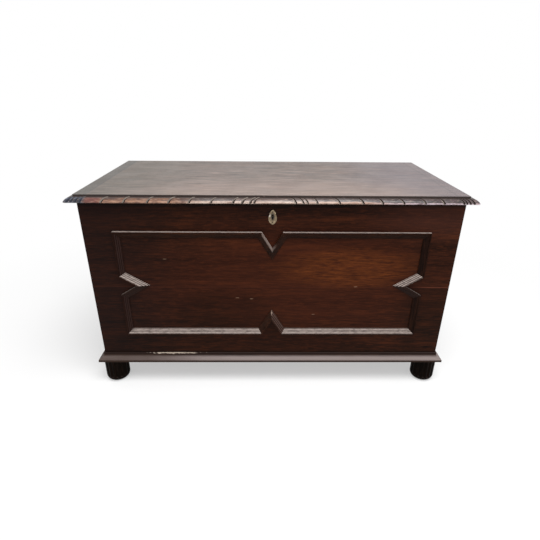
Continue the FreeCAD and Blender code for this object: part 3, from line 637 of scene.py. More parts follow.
# %% Dressing the lid's boards
for row, part in enumerate(("front", "middle", "back")):
    lid_wood = wood(f"lid_{part}", "X", 41 + row, LID_TONES, lid_wear, contrast=0.8, gloss=0.5)
    dress(f"lid_board_{part}", lid_wood)
print("lid strips start", round(LID_STRIP, 4), "m from the middle")

# %% [markdown]
# ## Hands for modelling
#
# Modelling by script is modelling by hand without the mouse: a primitive is added, parts of it are picked
# by where they are, and the same operators as in the menus shape them. These few helpers copy, join and
# place; a finished piece always ends at the origin with its place in its mesh.

# %% Copying, joining and placing
def alone(piece):
    """Makes one object the only selected and active one."""
    bpy.ops.object.select_all(action="DESELECT")
    piece.select_set(True)
    bpy.context.view_layer.objects.active = piece


def added(primitive, **settings):
    """Adds a primitive by itself, and gives it."""
    bpy.ops.object.select_all(action="DESELECT")
    primitive(**settings)
    return bpy.context.object


def open_mesh(piece):
    """Starts work on the mesh of one object, with all of it picked."""
    alone(piece)
    bpy.ops.object.mode_set(mode="EDIT")
    bpy.ops.mesh.select_all(action="SELECT")


def close_mesh():
    """Ends work on a mesh."""
    bpy.ops.object.mode_set(mode="OBJECT")


def settle(piece, name):
    """Writes an object's place, turn and size into its mesh, and names it."""
    alone(piece)
    bpy.ops.object.transform_apply(location=True, rotation=True, scale=True)
    piece.name = name
    piece.data.name = name
    return piece


def copy_of(piece, name):
    """A copy with a mesh of its own."""
    twin = piece.copy()
    twin.data = piece.data.copy()
    twin.name = name
    bpy.context.scene.collection.objects.link(twin)
    return twin


def joined(pieces, name):
    """Several objects as one."""
    bpy.ops.object.select_all(action="DESELECT")
    for piece in pieces:
        piece.select_set(True)
    bpy.context.view_layer.objects.active = pieces[0]
    bpy.ops.object.join()
    return settle(pieces[0], name)


# %% Working on a whole mesh
WELD = 0.02 * MM
FINE_WELD = 0.001 * MM
NEARLY_FLAT = math.radians(0.5)
CRISP = math.radians(30)
ROUNDED = math.radians(40)


def point_outwards(piece):
    """Turns every face of a closed mesh outwards."""
    open_mesh(piece)
    bpy.ops.mesh.normals_make_consistent(inside=False)
    close_mesh()


def merged_copy(node, name):
    """A welded copy of a ready-made piece, to be worked on."""
    twin = copy_of(nodes[node], name)
    twin.parent = None
    for key in list(twin.keys()):
        del twin[key]
    open_mesh(twin)
    bpy.ops.mesh.customdata_custom_splitnormals_clear()
    bpy.ops.mesh.remove_doubles(threshold=WELD)
    bpy.ops.mesh.dissolve_limited(angle_limit=NEARLY_FLAT)
    close_mesh()
    return twin


def cut_away(piece, cutter, settings):
    """Takes a cutter out of a piece, with the cutter's own finish on the cut faces."""
    alone(piece)
    boolean = piece.modifiers.new("cut", "BOOLEAN")
    boolean.operation = "DIFFERENCE"
    boolean.solver = "EXACT"
    boolean.material_mode = "TRANSFER"
    boolean.object = cutter
    for key, value in settings.items():
        setattr(boolean, key, value)
    bpy.ops.object.modifier_apply(modifier=boolean.name)
    bpy.data.objects.remove(cutter)


def soften(piece, corner):
    """Smooth shading, with corners sharper than this left crisp."""
    alone(piece)
    bpy.ops.object.shade_smooth_by_angle(angle=corner)


# %% [markdown]
# ## The finish of the carved edge
#
# The lid's front edge is handled more than any other part. Its upper curve, the swell, keeps a grey
# polish; the nose below it, where fingers lift the lid, is rubbed to bare pale wood and carries a painted
# highlight; and dirt and painted shade darken the quirk, the thin groove above. From left to right it goes
# from blue-grey through a ruddy stretch to a pale middle and a dark end. Each stretch is a pair of tones,
# dark and light, that a blotchy noise mixes.

# %% Tones of the edge
SWELL_POLISH = ((36, 30, 30), (80, 70, 68))
SWELL_LEFT = ((66, 38, 28), (118, 78, 54))
SWELL_MIDDLE = ((54, 33, 28), (118, 97, 89))
NOSE_BARE_AND_HIGHLIT = ((142, 115, 101), (210, 190, 176))
NOSE_LEFT = ((84, 50, 37), (150, 106, 80))
NOSE_RIGHT_WORN_AND_HIGHLIT = ((88, 70, 76), (202, 184, 194))
LEFT_END = ((26, 31, 40), (92, 104, 122))
RIGHT_END = ((24, 8, 10), (60, 36, 42))
END_GRIME = ((36, 22, 17), (84, 56, 43))
EDGE_UNDER = ((60, 36, 25), (84, 52, 36))
HIGH = 100
PALE_MIDDLE = ((10 * MM, LID_NOSE, LID_UNDER), (210, DEEP, HIGH))
RUSTY = ((215 * MM, LID_NOSE, LID_UNDER), (150, DEEP, HIGH))
RUDDY = ((-452 * MM, LID_NOSE, LID_UNDER + 5 * MM), (32, DEEP, HIGH))


# %% Wear of the edge
def swell_and_nose(place, blotch, fore):
    """The polished swell over the bare nose and its painted highlight; a ruddy left, pale middle and worn
    right.
    """
    x, y, z = axes(place)
    at_left = fade_mm(x + (blotch - 0.5) * (90 * MM), -165, -255) * fore
    at_right = fade_mm(x + (blotch - 0.5) * (60 * MM), 190, 330) * fore
    swell = layered(
        mixed(blotch, *SWELL_POLISH),
        (at_left, 0.8, mixed(fade(blotch, 0.35, 0.6), *SWELL_LEFT)),
        (near(place, *PALE_MIDDLE, 0.6, 30), 0.7, mixed(fade(blotch, 0.38, 0.6), *SWELL_MIDDLE)),
    )
    # The bare nose: pale worn wood with a painted highlight, bluish and narrower at the right.
    bare = layered(
        mixed(fade(blotch, 0.3, 0.7), *NOSE_BARE_AND_HIGHLIT),
        (at_left, 0.9, mixed(fade(blotch, 0.35, 0.62), *NOSE_LEFT)),
        (at_right, 0.85, mixed(fade(blotch, 0.3, 0.56), *NOSE_RIGHT_WORN_AND_HIGHLIT)),
        (near(place, *RUSTY, 0.8, 40), 0.55, (150, 112, 92)),
    )
    nose = fade_mm(z - LID_UNDER + (blotch - 0.5) * (4 * MM) + at_right * (2.2 * MM), 8.0, 5.8)
    return mixed(nose, swell, bare), nose


def edge_ends(place, side, blotch, fore, nose):
    """The ruddy patch and the blue-grey end at the left, the dark end at the right, and grime behind."""
    x, y, z = axes(place)
    right_end = fade_mm(x, 150, 330) * (1.0 - nose) * fore
    return layered(
        side,
        (near(place, *RUDDY, 0.4, 12), 0.75, (98, 48, 42)),
        (fade_mm(x, -466, -480) * fore, 0.9, mixed(fade(blotch, 0.4, 0.65), *LEFT_END)),
        (right_end, 0.9, mixed(fade(blotch, 0.4, 0.65), *RIGHT_END)),
        (1.0 - fore, 0.85, mixed(fade(blotch, 0.35, 0.65), *END_GRIME)),
    )


def edge_marks(place, side, blotch, fore):
    """Dark and pale flecks, and dirt and painted shade in the quirk with a chip here and there."""
    x, y, z = axes(place)
    fleck = speckle(place, (11, 3.5, 3.5), 3.0, 0.6)
    # Dirt and painted shade darken the quirk.
    quirk = fade_mm(z - LID_TOP + (blotch - 0.5) * (1.6 * MM), -6.6, -5.0)
    chipped = fade(speckle(place, (16, 40, 40), 2.0), 0.66, 0.7)
    return layered(
        side,
        (fade(fleck, 0.53, 0.67) * fore, 0.45, (46, 28, 22)),
        (fade(fleck, 0.47, 0.33) * fore, 0.28, (182, 156, 140)),
        (quirk * (1.0 - chipped * 0.6), 1.0, (44, 32, 28)),
    )


def edge_wear(place, tone, roughness, height):
    """The lid's own wear on top, and below the arris the swell, the nose, the ends and their marks."""
    tone, roughness, height = lid_wear(place, tone, roughness, height)
    x, y, z = axes(place)
    blotch = speckle(place, (30, 7, 7), 4.0, 0.62)
    fore = fade_mm(y - LID_NOSE, 55, 28)
    side, nose = swell_and_nose(place, blotch, fore)
    side = edge_marks(place, edge_ends(place, side, blotch, fore, nose), blotch, fore)
    side = layered(side, (fade_mm(z - LID_UNDER, 0.5, 0.1), 1.0, mixed(blotch, *EDGE_UNDER)))
    return mixed(fade_mm(z - LID_TOP, -0.2, -0.7), tone, side), roughness, height


# %% Finish of the cuts
CUT_TONES = ((26, 18, 17), (40, 30, 27), (66, 50, 46))
CUT_SHADED = ((24, 16, 15), (52, 38, 35))
CUT_LIT = ((84, 75, 70), (150, 140, 130))


def cut_facets(place, tone, roughness, height):
    """Facets that face right are painted lit, and those that face left painted in shade."""
    x, y, z = axes(place)
    lit = fade(facing(place)[0], -0.12, 0.2)
    blotch = speckle(place, 6, 3.0)
    pale = layered(mixed(blotch, *CUT_LIT), (fade_mm(abs(x), 455, 485), 0.75, (54, 52, 56)))
    # Painted light and shade: pale on facets that face the lamp, dark on those that face away.
    facets = mixed(lit, mixed(blotch, *CUT_SHADED), pale)
    return layered(facets, (fade_mm(x, -462, -478), 0.6, (48, 57, 70))), roughness, height


edge_wood = wood("edge_wood", "X", 47, LID_TONES, edge_wear, sheen=0.34, gloss=0.5)
cut_wood = wood("cut_wood", "X", 48, CUT_TONES, cut_facets)
for count, side in enumerate(("left", "right")):
    dress(f"lid_edge_{side}", wood(f"lid_{side}", "Y", 45 + count, LID_TONES, edge_wear, gloss=0.5))
print("nodes in the edge's finish:", len(edge_wood.node_tree.nodes))

# %% [markdown]
# ## Carving the edge
#
# The lid's front edge is a swell under a thin quirk, and a carver has cut it across with a gouge every two
# inches, the cuts leaning outwards from the middle, as a cheap way to suggest gadrooning. Each cut is a
# crescent: one side is stabbed steeply, the other pared away towards it. A bevel on a drawn line
# could make it, but wood is removed, so a cutter is made and taken away with a boolean. The cutter starts
# as a flat crescent, a small triangle spun through part of a circle, and is then bent round the swell,
# deepest at the nose and shallow at the ledge, so that every cut dies out by itself higher up.

# %% The section of the edge
EDGE_RUN = 17.0 * MM
EDGE_RISE = 10.4 * MM
NOSE_RADIUS = 3.4 * MM
SWELL = (EDGE_RUN**2 + EDGE_RISE**2) / (2 * EDGE_RISE)
SWELL_Y = LID_NOSE + EDGE_RUN
SWELL_Z = LID_UNDER + NOSE_RADIUS + EDGE_RISE - SWELL
NOSE_TURN = math.asin((SWELL - EDGE_RISE) / SWELL)
SWELL_LENGTH = SWELL * (math.pi / 2 - NOSE_TURN)
print("the swell: radius", round(SWELL / MM, 2), "mm, length", round(SWELL_LENGTH / MM, 2), "mm")

# %% A flat crescent
CRESCENT_RADIUS = 36 * MM
CRESCENT_FROM = math.radians(4)
CRESCENT_TO = math.radians(57)
FOOT_TURN = math.radians(18)
PARED_WIDTH = 5.2 * MM
STABBED_WIDTH = 3.4 * MM
CUTTER_HEIGHT = 3.2 * MM
SPIN_STEPS = 16


def crescent():
    """A flat crescent of wood to take away: its deepest line is an arc whose foot lies at the origin."""
    cutter = added(bpy.ops.mesh.primitive_circle_add, vertices=3, radius=1.0, fill_type="NGON")
    corners = [
        (CRESCENT_RADIUS, 0.0, 0.0),
        (CRESCENT_RADIUS + STABBED_WIDTH, 0.0, CUTTER_HEIGHT),
        (CRESCENT_RADIUS - PARED_WIDTH, 0.0, CUTTER_HEIGHT),
    ]
    for vertex, corner in zip(cutter.data.vertices, corners):
        vertex.co = corner
    open_mesh(cutter)
    sweep = CRESCENT_TO - CRESCENT_FROM
    bpy.ops.mesh.spin(steps=SPIN_STEPS, angle=sweep, center=(0.0, 0.0, 0.0), axis=(0.0, 0.0, -1.0))
    bpy.ops.mesh.select_all(action="SELECT")
    bpy.ops.mesh.remove_doubles(threshold=FINE_WELD)
    bpy.ops.mesh.select_all(action="DESELECT")
    bpy.ops.mesh.select_mode(type="EDGE")
    bpy.ops.mesh.select_non_manifold()
    bpy.ops.mesh.edge_face_add()
    close_mesh()
    point_outwards(cutter)
    cutter.rotation_euler = (0.0, 0.0, CRESCENT_FROM)
    settle(cutter, "crescent_cutter")
    cutter.location = (-CRESCENT_RADIUS * math.cos(FOOT_TURN), -CRESCENT_RADIUS * math.sin(FOOT_TURN), 0.0)
    return settle(cutter, "crescent_cutter")


master_cutter = crescent()
print("cutter faces:", len(master_cutter.data.polygons))

# %% Bending a crescent round the swell
DEPTH_AT_NOSE = 2.5 * MM
DEPTH_AT_LEDGE = 0.8 * MM


def lay_on_swell(cutter, boldness):
    """Bends a flat cutter round the swell, deepest at the nose and shallow at the ledge."""
    for vertex in cutter.data.vertices:
        up = vertex.co.y
        share = min(max(up / SWELL_LENGTH, 0.0), 1.0)
        depth = (DEPTH_AT_NOSE + (DEPTH_AT_LEDGE - DEPTH_AT_NOSE) * share) * boldness
        reach = SWELL - depth + vertex.co.z
        turn = NOSE_TURN + up / SWELL
        vertex.co.y = SWELL_Y - reach * math.cos(turn)
        vertex.co.z = SWELL_Z + reach * math.sin(turn)


# %% Where the edge is cut
# A carver sets these out by eye, about two inches apart, with a few close together near the middle and
# the corners: millimetres from the middle of the lid, along the nose.
RIGHT_CUTS = (58, 77, 88, 112, 169, 228, 277, 331, 385, 433, 483, 490, 499, 509)
LEFT_CUTS = (48, 58, 78, 101, 156, 211, 262, 315, 374, 430, 483, 495, 505, 515)
CUT_SIZES = (0.93, 1.05)
CUT_LEAN = 0.07
CUT_BOLDNESS = (0.85, 1.1)
CHANCE_SEED = 7
chance = random.Random(CHANCE_SEED)


def place_cut(distance, side, number):
    """One crescent cutter, laid on the edge with its foot this far from the middle."""
    cutter = copy_of(master_cutter, f"cut_{number}")
    size = chance.uniform(*CUT_SIZES)
    cutter.scale = (side * size, size, 1.0)
    cutter.rotation_euler = (0.0, 0.0, chance.uniform(-CUT_LEAN, CUT_LEAN))
    cutter.location = (side * distance * MM, 0.0, 0.0)
    settle(cutter, cutter.name)
    lay_on_swell(cutter, chance.uniform(*CUT_BOLDNESS))
    return cutter


places = [(1, distance) for distance in RIGHT_CUTS] + [(-1, distance) for distance in LEFT_CUTS]
cutters = [place_cut(distance, side, number) for number, (side, distance) in enumerate(places)]
all_cutters = joined(cutters, "edge_cutters")
point_outwards(all_cutters)
bpy.data.objects.remove(master_cutter)
print("cuts along the edge:", len(places))

# %% Cutting the edge
carved_edge = merged_copy("lid_edge_front", "carved_edge")
paint(carved_edge, edge_wood)
paint(all_cutters, cut_wood)
cut_away(carved_edge, all_cutters, {"use_self": True})
soften(carved_edge, CRISP)
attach(carved_edge, "lid")
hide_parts("lid_edge_front")
print("carved edge faces:", len(carved_edge.data.polygons))

# %% [markdown]
# ## The plinth
#
# The plinth is a frame of moulded rails that the carcass stands in. Its slope faces up, so it is greyed by
# dust and painted sheen all along, darker in the corner where it meets the boards, with a browner left end,
# a painted glint and a few chips of old filler showing pale along its top. Height above the floor tells
# the masks which member of the moulding they are on, so one wear serves the rails of all four sides.

# %% Plinth
PLINTH_TONES = ((26, 17, 15), (44, 29, 24), (66, 45, 37))
# Dust with a painted sheen on the plinth's upward slope.
PLINTH_DUST_AND_LIGHT = (124, 112, 109)
CHIPPED_TOP = ((-290 * MM, FRONT - 2 * MM, CARCASS_FOOT), (78, 4, 4))


def plinth_wear(place, tone, roughness, height):
    """Darker on the ledge where the carcass stands and at the left end, a painted glint, and chips on top.
    """
    x, y, z = axes(place)
    down = CARCASS_FOOT - z
    patchy = (speckle(place, (90, 60, 8), 3.0) - 0.5) * 0.5
    foot = fade_mm(down, 17, 20)
    glint = fade_mm(down, 11, 15) * (1.0 - foot) * fade_mm(x, -300, -120)
    tone = layered(
        tone,
        (at_least(fade_mm(x, -180, -400) * 0.6 + patchy, 0.0), 1.0, (58, 42, 34)),
        (foot, 0.75, (46, 33, 26)),
        # A painted highlight along the slope.
        (glint, 0.2, (172, 158, 154)),
        (fade_mm(down, 8, 3), 0.85, (36, 24, 20)),
        (near(place, *CHIPPED_TOP, 2.4, (9, 6, 3)), 0.85, (202, 186, 170)),
    )
    return tone, roughness, height


for count, (part, along) in enumerate((("front", "X"), ("left", "Y"), ("right", "Y"), ("back", "X"))):
    plinth_wood = wood(f"plinth_{part}", along, 51 + count, PLINTH_TONES, plinth_wear,
                       dust_and_light=1.15, dust_and_light_tone=PLINTH_DUST_AND_LIGHT)
    dress(f"plinth_{part}", plinth_wood)
print("plinth rails dressed:", count + 1)

# %% [markdown]
# ## The panel moulding
#
# Sixteen sticks of reeded moulding are mitred into a frame with a V notch in each side. The sticks that
# lie level have a face that looks up a little, and it is nearly white with light and dust, the light partly
# painted into its colour; the uprights are almost black with painted shade. So the sticks get four
# finishes, which differ in their dust and painted light and in where these lie: level sticks, the arms of
# the upper and side notches, those of the lower notch, and the uprights. Painted shade lies in the quirks
# between the reeds, which are told apart by how far they stand out from the front.

# %% Places on the moulding
NOTCH_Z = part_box("notch_left_upper")[0].z
PANEL_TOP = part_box("moulding_top_left")[1].z
LOW_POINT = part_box("notch_bottom_left")[1].z
NOTCH_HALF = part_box("moulding_top_right")[0].x
NOTCH_DEPTH = 46.0 * MM
NOTCH_ARM = math.hypot(NOTCH_HALF, NOTCH_DEPTH)
QUIRKS = (6.1 * MM, 4.3 * MM)
POINT_OF_LOW_NOTCH = ((0.0, FRONT, LOW_POINT - 9 * MM), (2.6, DEEP, 10))
print("side notches at", round(NOTCH_Z, 4), "panel top at", round(PANEL_TOP, 4))


# %% Wear of the sticks
def stick_flecks_and_shade(place, tone, fleck):
    """Grey flecks, painted shade under the points of the side notches, and painted shade in the quirks."""
    x, y, z = axes(place)
    over_point = z - NOTCH_Z
    # Painted shade under the points of the side notches.
    shade_under_point = fade_mm(over_point, 1, -1) * fade_mm(over_point, -46, -38) * fade_mm(abs(x), 330, 340)
    # Painted shade in the quirks between the reeds.
    quirks = [fade_mm(abs(y - (FRONT - depth)), 0.5, 0.15) for depth in QUIRKS]
    return layered(
        tone,
        (fade(fleck, 0.42, 0.66), 0.5, (30, 22, 19)),
        (shade_under_point, 0.72, (38, 27, 24)),
        *[(quirk, 0.42, (34, 24, 20)) for quirk in quirks],
    )


def top_notch_bead_highlight(place, fleck):
    """1 on the bead along the arms of the top notch where a highlight is painted, palest on the left arm."""
    x, y, z = axes(place)
    from_top = z - PANEL_TOP
    from_arm = (NOTCH_HALF - abs(x)) * (NOTCH_DEPTH / NOTCH_ARM) + from_top * (NOTCH_HALF / NOTCH_ARM)
    bead = fade_mm(from_arm, -6.2, -3.8) * fade_mm(from_top, -90, -80)
    shown = at_most(fade_mm(x, 1, -1) + fade_mm(from_top, -30, -46) * 0.5, 1.0)
    return bead * shown * (fleck * 0.8 + 0.4) * fade(abs(x), NOTCH_HALF + 1 * MM, NOTCH_HALF)


def stick_wear(place, tone, roughness, height):
    """Flecks, painted shade with more along the low inner edge, a pale lower point, a painted highlight at
    top.
    """
    x, y, z = axes(place)
    fleck = streaks(place, "X", 14, 4, 65, 3.0, 0.7)
    # Painted shade on the faces next to the board, low down.
    inner_edge_shade = fade_mm(y - FRONT, -2.6, -0.8) * fade_mm(z - NOTCH_Z, -100, -110)
    tone = layered(
        stick_flecks_and_shade(place, tone, fleck),
        (near(place, *POINT_OF_LOW_NOTCH, 1.0, 4), 0.7, (158, 136, 124)),
        (inner_edge_shade, 0.6, (44, 32, 28)),
        (top_notch_bead_highlight(place, fleck), 0.75, (142, 126, 118)),
    )
    return tone, roughness, height


def upright_shade(place, tone, roughness, height):
    """Painted shade on the uprights: near black at the right, a little browner at the left."""
    x, y, z = axes(place)
    tone = layered(tone, (fade_mm(x, -1, 1), 0.55, (17, 9, 7)), (fade_mm(x, 1, -1), 0.55, (28, 16, 13)))
    return tone, roughness, height


# %% Dressing the sticks
MOULDING_TONES = ((20, 9, 5), (38, 19, 11), (60, 33, 20))
NOTCH_TONES = ((25, 13, 8), (44, 24, 15), (62, 36, 24))
# Dust and painted light on faces tipped towards the lamp; painted light alone on uprights facing it.
MOULDING_DUST_AND_LIGHT = {"gloss": 0.03, "dust_and_light_tone": (168, 154, 147), "dust_and_light_faces": towards_lamp}
LOW_NOTCH_DUST_AND_LIGHT = {"gloss": 0.03, "dust_and_light_tone": (112, 90, 84), "dust_and_light_faces": towards_lamp}
UPRIGHT_LIGHT = {"gloss": 0.03, "dust_and_light_tone": (78, 60, 58), "dust_and_light_faces": rightward}

level_sticks = wood("moulding_level", "X", 61, MOULDING_TONES, stick_wear, dust_and_light=1.3, **MOULDING_DUST_AND_LIGHT)
notch_sticks = wood("moulding_notch", "X", 63, NOTCH_TONES, stick_wear, dust_and_light=1.2, **MOULDING_DUST_AND_LIGHT)
low_notch_sticks = wood("moulding_low_notch", "X", 64, NOTCH_TONES, stick_wear, dust_and_light=0.5, **LOW_NOTCH_DUST_AND_LIGHT)
upright_sticks = wood("moulding_upright", "Z", 62, MOULDING_TONES, upright_shade, dust_and_light=0.5, **UPRIGHT_LIGHT)
STICK_FINISHES = (
    ("notch_bottom", low_notch_sticks),
    ("notch", notch_sticks),
    ("moulding_top", level_sticks),
    ("moulding_bottom", level_sticks),
    ("moulding", upright_sticks),
)
sticks = [node for node in nodes if node.startswith(("notch", "moulding"))]
for node in sticks:
    dress(node, next(finish for start, finish in STICK_FINISHES if node.startswith(start)))
print("sticks dressed:", len(sticks))

# %% [markdown]
# ## The reeded feet
#
# Each foot is a drum turned on a lathe, rounded under like a bun, with sixteen flutes cut down its side
# that stop short of the rounding. One way is to turn the drum by spinning its profile and carve the flutes
# with a boolean. It is cleaner to draw the fluted outline once and pull it down: the outline is a circle
# whose points are drawn in by the depth of the flute, and where the flutes end the same points are let out
# again to the full round.

# %% The outline of a foot
FLUTES = 16
POINTS_PER_FLUTE = 12
FLUTE_DEPTH = 2.8 * MM
FLUTE_SHARE = 0.42
FLUTE_ROUND = 0.25
REED_SHOULDER = 0.55
REED_CURVE = 2.2


def flute_cut(step):
    """How deep the outline lies at one of a flute's points: 0 on the reed's crown, 1 in the flute."""
    away = abs(step - POINTS_PER_FLUTE / 2) / (POINTS_PER_FLUTE / 2)
    if away <= FLUTE_SHARE:
        return 1.0 - FLUTE_ROUND * (away / FLUTE_SHARE) ** 2
    crown = (away - FLUTE_SHARE) / (1.0 - FLUTE_SHARE)
    return REED_SHOULDER * (1.0 - crown) ** REED_CURVE


print("flute depths:", [round(flute_cut(step), 2) for step in range(POINTS_PER_FLUTE)])


# %% Shaping an outline
def scale_round(centre, factor):
    """Draws what is picked towards the foot's axis, or lets it out."""
    bpy.ops.transform.resize(value=(factor, factor, 1.0), center_override=centre)


def pull_down(centre, drop, factor=1.0):
    """Extrudes the picked outline down and sizes it."""
    bpy.ops.mesh.extrude_region_move(TRANSFORM_OT_translate={"value": (0.0, 0.0, -drop)})
    scale_round(centre, factor)


def shape_flutes(centre, radius, change):
    """Moves the picked outline's points by how deep each of them lies in its flute."""
    mesh = bmesh.from_edit_mesh(bpy.context.object.data)
    outline = [vertex for vertex in mesh.verts if vertex.select]
    turn = 2 * math.pi / (FLUTES * POINTS_PER_FLUTE)
    steps = {}
    for vertex in outline:
        angle = math.atan2(vertex.co.y - centre[1], vertex.co.x - centre[0])
        steps[vertex] = round(angle / turn) % POINTS_PER_FLUTE
    for step in range(POINTS_PER_FLUTE):
        for vertex in outline:
            vertex.select = steps[vertex] == step
        mesh.select_flush_mode()
        bmesh.update_edit_mesh(bpy.context.object.data)
        scale_round(centre, change(radius, flute_cut(step) * FLUTE_DEPTH))
    for vertex in outline:
        vertex.select = True
    mesh.select_flush_mode()
    bmesh.update_edit_mesh(bpy.context.object.data)


# %% A foot
FLUTE_END = 3.5 * MM
RUN_OUT_DROP = 0.7
RUN_OUT_DEPTH = 0.6
ROUNDING = 15 * MM
ROUNDING_STEPS = 7


def round_under(centre, radius):
    """Pulls the full outline down and in along a quarter circle."""
    width = radius
    for step in range(1, ROUNDING_STEPS + 1):
        before = math.pi / 2 * (step - 1) / ROUNDING_STEPS
        after = math.pi / 2 * step / ROUNDING_STEPS
        wanted = radius - ROUNDING * (1 - math.cos(after))
        pull_down(centre, ROUNDING * (math.sin(after) - math.sin(before)), wanted / width)
        width = wanted


def reeded_foot(node, top):
    """A fluted drum in the place of a ready-made foot, from the floor up to the plinth."""
    low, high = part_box(node)
    radius = (high.x - low.x) / 2
    centre = ((low.x + high.x) / 2, (low.y + high.y) / 2, 0.0)
    outline = {"vertices": FLUTES * POINTS_PER_FLUTE, "radius": radius, "fill_type": "NOTHING"}
    start = (centre[0], centre[1], top)
    foot = settle(added(bpy.ops.mesh.primitive_circle_add, location=start, **outline), "reeded_" + node)
    open_mesh(foot)
    bpy.ops.mesh.select_mode(type="VERT")
    shape_flutes(centre, radius, lambda full, cut: (full - cut) / full)
    bpy.ops.mesh.edge_face_add()
    pull_down(centre, top - ROUNDING - FLUTE_END)
    pull_down(centre, FLUTE_END * RUN_OUT_DROP)
    shape_flutes(centre, radius, lambda full, cut: (full - cut * RUN_OUT_DEPTH) / (full - cut))
    pull_down(centre, FLUTE_END * (1.0 - RUN_OUT_DROP))
    shape_flutes(centre, radius, lambda full, cut: full / (full - cut * RUN_OUT_DEPTH))
    round_under(centre, radius)
    bpy.ops.mesh.edge_face_add()
    close_mesh()
    point_outwards(foot)
    soften(foot, ROUNDED)
    return foot


# %% Four feet
FOOT_TONES = ((7, 4, 2), (12, 7, 4), (24, 14, 9))

plinth_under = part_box("plinth_front")[0].z
foot_wood = wood("foot_wood", "Z", 71, FOOT_TONES, dust_and_light=0.06, gloss=0.02)
for node in [name for name in nodes if name.startswith("foot")]:
    foot = reeded_foot(node, plinth_under)
    paint(foot, foot_wood)
    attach(foot, "carcass")
    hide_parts(node)
print("foot faces:", len(foot.data.polygons))

# %% [markdown]
# ## Brass
#
# The escutcheon, the lock and the hinges are brass that nobody has polished for years. It keeps its colour
# only where hands rub it, so the metal is the fresh tone with a brown tarnish over it in blots, and where
# the tarnish is thick it no longer reflects as metal. The keyhole and its rim are painted near black as
# shade.

# %% Brass finishes
KEYHOLE_Z = 525.5 * MM
KEYHOLE_SHADE = ((0.0, FRONT, KEYHOLE_Z), (6.6, DEEP, 14.0))
RUBBED_SHOULDER = ((-8.4 * MM, FRONT, KEYHOLE_Z + 4 * MM), (4.2, DEEP, 6.5))
BRASS_ROUGHNESS = 0.38
BRASS_RELIEF = {"Strength": 0.2, "Distance": 0.1 * MM}
TARNISH_STRENGTH = 0.9
TARNISH_DULLNESS = 0.25
TARNISH_DIMS = 0.5


def brass(name, fresh, tarnish, share, extra=None):
    """Old brass: tarnish in the hollows of a blotchy pattern, and worn as extra says."""
    material, surface, place = new_finish(name)
    blotch = fade(speckle(place, 7, 4.0, 0.6), 0.5 - share * 0.4, 0.75 - share * 0.4)
    fine = speckle(place, 1.2, 3.0, 0.6)
    tone = mixed(blotch * TARNISH_STRENGTH, fresh, tarnish)
    metal = 1.0 - blotch * TARNISH_DIMS
    if extra:
        tone, metal = extra(place, tone, metal)
    relief = {"Height": fine, **BRASS_RELIEF}
    plug(surface, {
        "Base Color": tone,
        "Metallic": metal,
        "Roughness": BRASS_ROUGHNESS + blotch * TARNISH_DULLNESS + (fine - 0.5) * 0.1,
        "Normal": place.node("ShaderNodeBump", {}, relief, "Normal"),
    })
    return material


def keyhole_wear(place, tone, metal):
    """Painted shade in and round the keyhole, and the left shoulder of the plate rubbed bright."""
    rubbed = near(place, *RUBBED_SHOULDER, 0.2, 2)
    # Painted shade, near black and no longer metal, in the keyhole.
    hollow = near(place, *KEYHOLE_SHADE, 0.2, 2)
    tone = layered(tone, (rubbed, 0.9, (216, 204, 190)), (hollow, 1.0, (5, 4, 3)))
    return tone, metal * (1.0 - rubbed * 0.5) * (1.0 - hollow)


# %% Dressing the brass
plate_brass = brass("escutcheon_metal", (200, 181, 150), (118, 100, 78), 0.6, keyhole_wear)
fitting_brass = brass("fitting_metal", (176, 146, 92), (88, 70, 44), 0.5)
screw_brass = brass("screw_metal", (164, 134, 84), (74, 58, 38), 0.5)
slot_dirt = brass("slot_dirt", (40, 31, 22), (22, 17, 12), 0.6)
fittings = [node for node in nodes if node.startswith(("hinge", "lock", "link"))]
for node in fittings:
    dress(node, fitting_brass)
dress("escutcheon", plate_brass)
print("brass fittings dressed:", len(fittings) + 1)

# %% [markdown]
# ## Escutcheon pins
#
# A keyhole plate this small is held by two brass pins with domed heads, one near each end. A domed head is
# a sphere cut in half and pressed flat, which is also how it is upset from wire.

# %% Escutcheon pins
PIN_RADIUS = 1.5 * MM
PIN_SEGMENTS = {"segments": 20, "ring_count": 12}
PIN_DOME = 0.5
PIN_FROM_TOP = 5.8 * MM
PIN_FROM_FOOT = 6.4 * MM

plate_low, plate_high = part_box("escutcheon")


def domed_head(place):
    """Half a sphere, pressed flat, facing the front."""
    head = added(bpy.ops.mesh.primitive_uv_sphere_add, radius=PIN_RADIUS, **PIN_SEGMENTS)
    open_mesh(head)
    bpy.ops.mesh.bisect(plane_co=(0, 0, 0), plane_no=(0, 1, 0), clear_outer=True, use_fill=True)
    close_mesh()
    head.scale = (1.0, PIN_DOME, 1.0)
    settle(head, "pin")
    head.location = place
    return settle(head, "pin")


pin_heights = (plate_high.z - PIN_FROM_TOP, plate_low.z + PIN_FROM_FOOT)
escutcheon_pins = joined([domed_head((0.0, plate_low.y, z)) for z in pin_heights], "escutcheon_pins")
paint(escutcheon_pins, slot_dirt)
soften(escutcheon_pins, ROUNDED)
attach(escutcheon_pins, "carcass")
print("pins:", len(pin_heights))

# %% [markdown]
# ## Slotted screws
#
# Everything brass is held by countersunk screws with a plain slot, as they were before the cross-headed
# kind. One screw is made: a disc drawn down into a cone and on into the shank, with the slot taken out of
# it by a boolean. Every place then gets a copy, turned by a chance angle, because nobody lines the slots
# up. Where a plate has no hole of its own the head stands a hair proud, so that it shows.

# %% One screw
HEAD_SIDES = 24
HEAD_RADIUS = 3.6 * MM
SHANK_RADIUS = 1.6 * MM
HEAD_DEPTH = 2.0 * MM
SCREW_LENGTH = 12.0 * MM
POINT_TAPER = 0.6
SLOT_WIDTH = 0.9 * MM


